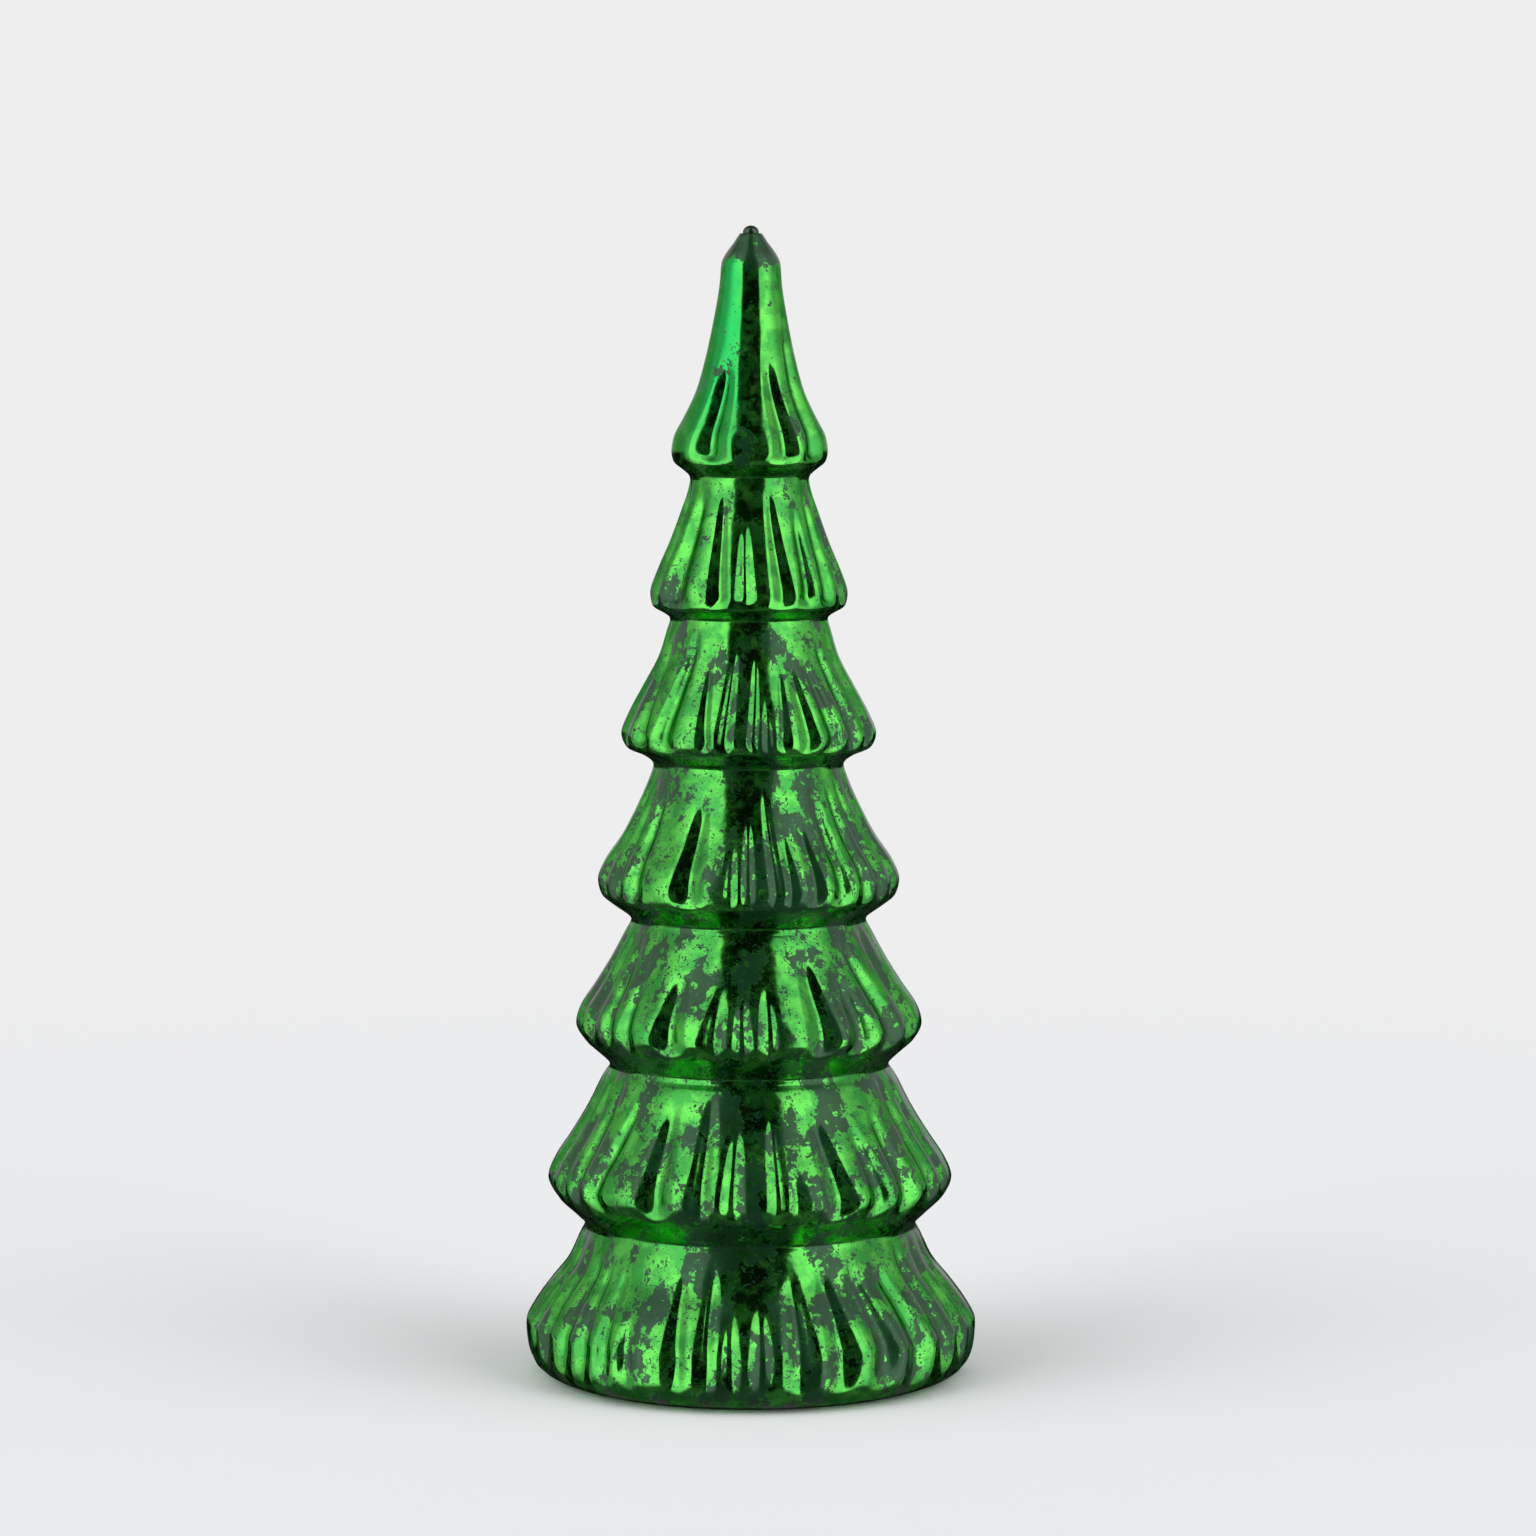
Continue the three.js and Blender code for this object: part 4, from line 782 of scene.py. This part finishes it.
@dataclass
class GlassShell:
    """The hollow glass tree: seven flared tiers with creased flanks, one closed wall."""

    tiers: tuple[Tier, ...] = TIERS
    columns: int = 336
    flank_row_mm: float = 3.2
    rows_per_turn: float = 36.0
    wall_mm: float = 4.2
    soften_mm: float = 0.8
    trace_mm: float = 0.1
    tip_rim: tuple[tuple[float, float], ...] = (
        (3.9, 322.3), (3.3, 323.2), (3.0, 323.5), (2.7, 323.4), (2.6, 323.1),
        (2.6, 322.3), (1.3, 322.3), (1.3, 319.9), (3.2, 318.9), (5.4, 315.2),
    )
    foot_inner: tuple[tuple[float, float], ...] = (
        (60.2, 15.4), (59.0, 11.5), (55.5, 8.0), (50.5, 5.6), (50.5, 0.0),
    )
    inner_top_mm: float = 314.0
    unround_mm: float = 0.16
    unround_size_mm: float = 26.0
    unround_ends_mm: float = 8.0
    bow_mm: float = 0.7
    piece: bpy.types.Object | None = field(default=None, init=False)

    def outer_profile(self) -> np.ndarray:
        """Outer profile from the foot up, as rows of radius and height.

        Returns:
            Points on a smooth curve through the tiers' profiles, closer where it bends.
        """
        points = np.array([point for tier in self.tiers for point in tier.profile])[::-1]
        z, r = points.T
        length = np.append(0.0, np.cumsum(np.hypot(np.diff(z), np.diff(r))))
        fine = np.linspace(0.0, length[-1], int(length[-1] / self.trace_mm))
        curve = np.column_stack([self._eased(length, r, fine), self._eased(length, z, fine)])
        reach = int(self.soften_mm / self.trace_mm)
        weights = np.exp(-0.5 * (np.arange(-3 * reach, 3 * reach + 1) / reach) ** 2)
        padded = np.pad(curve, ((3 * reach, 3 * reach), (0, 0)), mode="reflect", reflect_type="odd")
        soft = np.column_stack([np.convolve(axis, weights / weights.sum(), "valid") for axis in padded.T])
        soft[0], soft[-1] = curve[0], curve[-1]
        ways = np.diff(soft, axis=0)
        heading = np.unwrap(np.arctan2(ways[:, 0], ways[:, 1]))
        turned = np.abs(np.diff(heading, prepend=heading[0])) / math.tau * self.rows_per_turn
        run = np.append(0.0, np.cumsum(np.hypot(*ways.T) / self.flank_row_mm + turned))
        rows = np.interp(np.linspace(0.0, run[-1], math.ceil(run[-1])), run, np.arange(len(run)))
        return soft[rows.round().astype(int)].round(2)

    @staticmethod
    def _eased(at: np.ndarray, values: np.ndarray, wanted: np.ndarray) -> np.ndarray:
        """Smooth curve through points that never swings past them.

        Args:
            at: rising positions of the points.
            values: their values.
            wanted: positions to read.

        Returns:
            The values there.
        """
        gaps = np.diff(at)
        slopes = np.diff(values) / gaps
        tangents = np.zeros_like(values)
        same = slopes[:-1] * slopes[1:] > 0
        first, second = slopes[:-1][same], slopes[1:][same]
        tangents[1:-1][same] = 2 * first * second / (first + second)
        tangents[0], tangents[-1] = slopes[0], slopes[-1]
        k = np.clip(np.searchsorted(at, wanted, side="right") - 1, 0, len(gaps) - 1)
        t = (wanted - at[k]) / gaps[k]
        h00, h10 = 2 * t**3 - 3 * t**2 + 1, t**3 - 2 * t**2 + t
        h01, h11 = -2 * t**3 + 3 * t**2, t**3 - t**2
        return (
            h00 * values[k] + h10 * gaps[k] * tangents[k]
            + h01 * values[k + 1] + h11 * gaps[k] * tangents[k + 1]
        )

    def columns_at(self, z: float, radius: float) -> tuple[np.ndarray, np.ndarray]:
        """Bearing and step of every column at a height.

        Args:
            z: height in millimetres.
            radius: radius of the profile there.

        Returns:
            Bearing of each column, and how far it steps in from the profile.
        """
        necks = [(upper.lip + lower.top) / 2 for upper, lower in zip(self.tiers, self.tiers[1:])]
        edges = [self.tiers[0].profile[0][0], *necks, 0.0]
        tier = sum(z < neck for neck in necks)
        return self.tiers[tier].columns_at(z, radius, self.columns, (edges[tier + 1], edges[tier]))

    def build(self) -> None:
        """Spins the wall's section and moulds the creases into its outer face."""
        outer = self.outer_profile()
        inner = [(r - self.wall_mm, z) for tier in self.tiers for z, r in tier.profile[::2]]
        inner = [(r, z) for r, z in inner if self.foot_inner[0][1] < z < self.inner_top_mm]
        section = [*map(tuple, outer), *self.tip_rim, *inner, *self.foot_inner]
        bm = spun(section, self.columns, closed=True)
        rows = {round(float(z), 2): r for r, z in outer}
        moulded = {z: self.columns_at(z, r) for z, r in rows.items()}
        for vert in bm.verts:
            z = round(vert.co.z / MM, 2)
            radius = math.hypot(vert.co.x, vert.co.y) / MM
            if z in rows and radius > rows[z] - self.wall_mm / 4:
                turn = math.degrees(math.atan2(vert.co.x, -vert.co.y)) % 360.0
                column = round(turn / 360.0 * self.columns) % self.columns
                bearing, step = (values[column] for values in moulded[z])
                vert.co = self._moulded(z, rows[z] - step, math.radians(bearing)) * MM
        self.piece = finish_piece(bm, "glass_tree", Body.TREE, Slot.SILVERED_GLASS, "glass_shell")

    def _moulded(self, z: float, radius: float, bearing: float) -> Vector:
        """Place of a point of the outer face, a little out of round and off the axis halfway up.

        Args:
            z: height in millimetres.
            radius: radius that the mould gives.
            bearing: bearing in radians.

        Returns:
            The place in millimetres.
        """
        top = self.tiers[0].profile[0][0]
        out = Vector((math.sin(bearing), -math.cos(bearing), 0.0))
        wave = noise.noise((out * radius + Vector((0.0, 0.0, z))) / self.unround_size_mm)
        ends = min(1.0, z / self.unround_ends_mm, (top - z) / self.unround_ends_mm)
        bow = -self.bow_mm * math.sin(math.pi * z / top)
        return out * (radius - self.unround_mm * (0.5 + wave) * ends) + Vector((bow, 0.0, z))

    def dress(self, finish: Finish) -> None:
        """Silvers the shell with a finish."""
        self.piece.data.materials.append(finish.material())


@dataclass
class TipDrop:
    """Dark drop of glass that closes the tip, with its stem in the tip hole."""

    radius_mm: float = 2.3
    seat_mm: float = 322.6
    seat_share: float = 0.9
    height_mm: float = 3.1
    widest_at: float = 0.37
    stem_mm: float = 5.0
    stem_radius_mm: float = 1.0
    stem_end_share: float = 0.7
    stem_end_mm: float = 0.4
    columns: int = 40
    skirt_rows: int = 6
    dome_rows: int = 12
    piece: bpy.types.Object | None = field(default=None, init=False)

    def build(self) -> None:
        """Spins the outline of the stem and of the drop's flattened dome."""
        bottom = self.seat_mm - self.stem_mm
        stem = [
            (0.0, bottom), (self.stem_radius_mm * self.stem_end_share, bottom),
            (self.stem_radius_mm, bottom + self.stem_end_mm), (self.stem_radius_mm, self.seat_mm),
        ]
        belly = self.height_mm * self.widest_at
        swell = 1 - self.seat_share
        quarter = math.pi / 2
        skirt = [
            (self.radius_mm * (self.seat_share + swell * math.sin(a)), self.seat_mm + belly * a / quarter)
            for a in np.linspace(0.0, quarter, self.skirt_rows)
        ]
        dome = [
            (self.radius_mm * math.cos(a), self.seat_mm + belly + (self.height_mm - belly) * math.sin(a))
            for a in np.linspace(0.0, quarter, self.dome_rows)
        ]
        dome[-1] = (0.0, self.seat_mm + self.height_mm)
        bm = spun([*stem, *skirt[:-1], *dome], self.columns, closed=False)
        self.piece = finish_piece(bm, "tip_drop", Body.TREE, Slot.PLUG_GLASS, "tip_plug")

    def dress(self, finish: Finish) -> None:
        """Gives the drop a finish."""
        self.piece.data.materials.append(finish.material())


@dataclass
class BatteryBase:
    """Housing with its lid, door, captive screw and switch knob, sealed into the glass foot."""

    bead_mm: tuple[tuple[float, float], ...] = (
        (46.9, 2.0), (49.8, 2.0), (50.0, 2.2), (50.0, 5.0), (49.6, 5.1), (46.9, 4.2),
    )
    bead_columns: int = 144
    uneven_above_mm: float = 3.0
    uneven_mm: float = 0.12
    uneven_size_mm: float = 6.0
    sealant: bpy.types.Object | None = field(default=None, init=False)

    def build(self) -> None:
        """Spins the bead of sealant between the housing's flange and the glass foot."""
        bm = spun(self.bead_mm, self.bead_columns, closed=True)
        for vert in bm.verts:
            if vert.co.z > self.uneven_above_mm * MM:
                vert.co.z += self.uneven_mm * MM * noise.noise(vert.co / (self.uneven_size_mm * MM))
        self.sealant = finish_piece(bm, "sealant_bead", Body.TREE, Slot.SEALANT, "seat_sealant")

    def dress(self) -> None:
        """Finishes the base's pieces."""
        silicone = Moulded("clear silicone sealant", "#D4DCD6", roughness=0.35, grain_mm=2.0, mottle=0.06)
        self.sealant.data.materials.append(silicone.material())
        black = Moulded("black moulded polystyrene", "#1E201F", roughness=0.5)
        dress(("base_housing", "housing_lid"), black)
        dress(("battery_door",), Moulded("black moulded door plastic", "#232625", roughness=0.46))
        knob = Moulded("white moulded knob plastic", "#E4E4DF", roughness=0.42, mottle=0.05)
        dress(("switch_slider",), knob)
        screws = ("door_screw", "board_screw_1", "board_screw_2", "lid_screw_1", "lid_screw_2", "lid_screw_3")
        dress(screws, Plated("dark zinc-plated steel", "#6B6F72", roughness=0.34))


@dataclass
class PowerPack:
    """Three cells with their contacts, and the timer board with its parts."""

    cells: int = 3

    def dress(self) -> None:
        """Finishes the cells, contacts and board parts."""
        dress([f"cell_{i + 1}" for i in range(self.cells)], CellSleeve())
        contacts = ("positive_terminal", "bridge_contact_1", "bridge_contact_2", "negative_terminal")
        dress(contacts, Plated("nickel-plated spring steel", "#C3C6C7", along=(0.08, 1.0, 1.0)))
        dress(("switch_can", "crystal"), Plated("tinned steel", "#C8CACA", roughness=0.22))
        dress(("timer_board",), Moulded("phenolic paper board", "#9A7440", roughness=0.5, grain_mm=1.2))
        dress(("timer_chip", "resistor"), Moulded("moulded chip epoxy", "#16171A", roughness=0.45))
        dress(("capacitor",), Moulded("shrunk capacitor sleeve", "#20304A", roughness=0.3))


@dataclass
class LightString:
    """Mast with its cap, the wire wound round it, its lamps, and the battery leads."""

    lamps: int = 10

    def dress(self) -> None:
        """Finishes the mast, wire, lamps and leads."""
        dress(("light_mast", "mast_cap"), ClearMoulded("clear extruded acrylic", "#E6EFEF"))
        dress(("light_wire",), Plated("lacquered copper wire", "#C8875C", along=(1.0, 1.0, 1.0)))
        lamp = ClearMoulded("clear epoxy lamp drop", "#F4ECC8", roughness=0.08, transmission=0.5)
        dress([f"led_{i + 1}" for i in range(self.lamps)], lamp)
        dress(("lead_red",), Moulded("red lead insulation", "#B3261E", roughness=0.4))
        dress(("lead_black",), Moulded("black lead insulation", "#1C1C1C", roughness=0.4))


@dataclass
class Studio:
    """Pale floor, two large soft lights to the left and right, and the camera.

    The lights' ramps are in degrees of bearing or of height over the horizon. The glass doesn't
    mirror the floor: it sees the lights down to their foot and a dim ground under them. Behind is
    a pale backdrop, and in front, where the camera stands, the room is dark. The ceiling only
    lights what is matt.
    """

    camera_distance: float = 1.506
    camera_elevation: float = 4.98
    camera_right: float = 0.0048
    aim_height: float = 0.17294
    lens_mm: float = 124.76
    clip: tuple[float, float] = (0.1, 60.0)
    backdrop: str = "#EEEEEE"
    backdrop_from: Ramp = Ramp(106.0, 118.0)
    backdrop_foot: Ramp = Ramp(-4.0, 0.0)
    backdrop_top: Ramp = Ramp(32.0, 44.0, 1.0, 0.0)
    floor: str = "#F1F2F4"
    floor_radius_mm: float = 12000.0
    floor_hole_mm: float = 45.0
    floor_columns: int = 96
    floor_fade: Ramp = Ramp(0.35, 1.2)
    lamp_from: Ramp = Ramp(29.0, 33.0)
    lamp_level: Ramp = Ramp(59.0, 93.0, 3.1, 1.25)
    lamp_until: Ramp = Ramp(106.0, 118.0, 1.0, 0.0)
    lamp_foot: Ramp = Ramp(-44.0, -32.0)
    lamp_height: Ramp = Ramp(37.0, 71.0, 1.0, 0.5)
    lamp_top: Ramp = Ramp(80.0, 84.0, 1.0, 0.0)
    ground: Ramp = Ramp(-44.0, -32.0, 0.2, 0.0)
    ceiling: Ramp = Ramp(64.0, 72.0, 0.0, 1.45)
    room: float = 0.015

    def build_camera(self) -> None:
        """Sets the camera where the photograph was taken from."""
        tilt = math.radians(self.camera_elevation)
        data = bpy.data.cameras.new("camera")
        data.lens = self.lens_mm
        data.clip_start, data.clip_end = self.clip
        camera = bpy.data.objects.new("camera", data)
        camera.location = (
            self.camera_right,
            -self.camera_distance * math.cos(tilt),
            self.aim_height + self.camera_distance * math.sin(tilt),
        )
        camera.rotation_euler = (math.pi / 2 - tilt, 0.0, 0.0)
        bpy.context.scene.collection.objects.link(camera)
        bpy.context.scene.camera = camera

    def build_floor(self) -> None:
        """Lays a round pale floor, open under the tree's base.

        Far out it goes over to the backdrop's even tone.
        """
        section = ((self.floor_hole_mm, 0.0), (self.floor_radius_mm, 0.0))
        bm = spun(section, self.floor_columns, closed=False)
        bmesh.ops.recalc_face_normals(bm, faces=bm.faces)
        if sum(face.normal.z for face in bm.faces) < 0:
            bmesh.ops.reverse_faces(bm, faces=bm.faces)
        floor = new_object(bm, "floor")
        material = bpy.data.materials.new("pale matt floor")
        tree = emptied(material)
        place = add_node(tree, "TexCoord").outputs["Object"]
        away = add_node(tree, "VectorMath", (place,), operation="LENGTH").outputs["Value"]
        share = add_node(
            tree, "MapRange", (away, *self.floor_fade), interpolation_type="SMOOTHSTEP",
        ).outputs[0]
        matt = add_node(tree, "BsdfDiffuse", {"Color": srgb(self.floor)}).outputs[0]
        even = add_node(tree, "Emission", {"Color": srgb(self.backdrop)}).outputs[0]
        laid = add_node(tree, "MixShader", (share, matt, even)).outputs[0]
        clear = add_node(tree, "BsdfTransparent").outputs[0]
        below = add_node(tree, "NewGeometry").outputs["Backfacing"]
        mirrored = add_node(tree, "LightPath").outputs["Is Glossy Ray"]
        open_to = add_node(tree, "Math", (below, mirrored), operation="MAXIMUM").outputs[0]
        surface = add_node(tree, "MixShader", (open_to, laid, clear)).outputs[0]
        add_node(tree, "OutputMaterial", {"Surface": surface})
        floor.data.materials.append(material)

    def build_light(self) -> None:
        """Lights the tree from a world that, seen straight, is the backdrop's even tone."""
        world = bpy.data.worlds.new("studio")
        bpy.context.scene.world = world
        tree = emptied(world)
        axes = add_node(tree, "SeparateXYZ", (add_node(tree, "TexCoord").outputs["Generated"],)).outputs
        front = add_node(tree, "Math", (axes["Y"], -1.0), operation="MULTIPLY").outputs[0]
        turn = add_node(tree, "Math", (axes["X"], front), operation="ARCTAN2").outputs[0]
        side = add_node(tree, "Math", (turn,), operation="ABSOLUTE").outputs[0]
        rise = add_node(tree, "Math", (axes["Z"],), operation="ARCSINE").outputs[0]
        mirrored = add_node(tree, "LightPath").outputs["Is Glossy Ray"]
        matt = add_node(tree, "Math", (1.0, mirrored), operation="SUBTRACT").outputs[0]
        glow: Any = self.room
        for level, by_side, by_rise in (
            (1.0, (self.lamp_from, self.lamp_level, self.lamp_until),
             (self.lamp_foot, self.lamp_height, self.lamp_top)),
            (srgb(self.backdrop)[0], (self.backdrop_from,), (self.backdrop_foot, self.backdrop_top)),
            (1.0, (), (self.ground,)),
            (matt, (), (self.ceiling,)),
        ):
            for angle, ramp in [*((side, ramp) for ramp in by_side), *((rise, ramp) for ramp in by_rise)]:
                ends = (math.radians(ramp.start), math.radians(ramp.end), ramp.low, ramp.high)
                step = add_node(tree, "MapRange", (angle, *ends), interpolation_type="SMOOTHSTEP")
                level = add_node(tree, "Math", (level, step.outputs[0]), operation="MULTIPLY").outputs[0]
            glow = add_node(tree, "Math", (glow, level), operation="ADD").outputs[0]
        lit = add_node(tree, "Background", {"Strength": glow}).outputs[0]
        seen = add_node(tree, "Background", {"Color": srgb(self.backdrop)}).outputs[0]
        camera = add_node(tree, "LightPath").outputs["Is Camera Ray"]
        surface = add_node(tree, "MixShader", (camera, lit, seen)).outputs[0]
        add_node(tree, "OutputWorld", {"Surface": surface})


def main() -> None:
    """Builds and dresses the tree and sets it in the studio."""
    logging.basicConfig(level=logging.INFO, format="%(message)s")
    bpy.context.scene.view_settings.view_transform = "Standard"
    studio = Studio()
    studio.build_camera()
    studio.build_floor()
    studio.build_light()
    LOG.info("studio is set")
    shell = GlassShell()
    shell.build()
    shell.dress(SilveredGlass())
    LOG.info("glass tree has %d faces", len(shell.piece.data.polygons))
    drop = TipDrop()
    drop.build()
    drop.dress(DarkGlass())
    LOG.info("tip drop is on")
    base = BatteryBase()
    base.build()
    base.dress()
    LOG.info("battery base is finished")
    PowerPack().dress()
    LightString().dress()
    LOG.info("light string is finished")


if __name__ == "__main__":
    main()
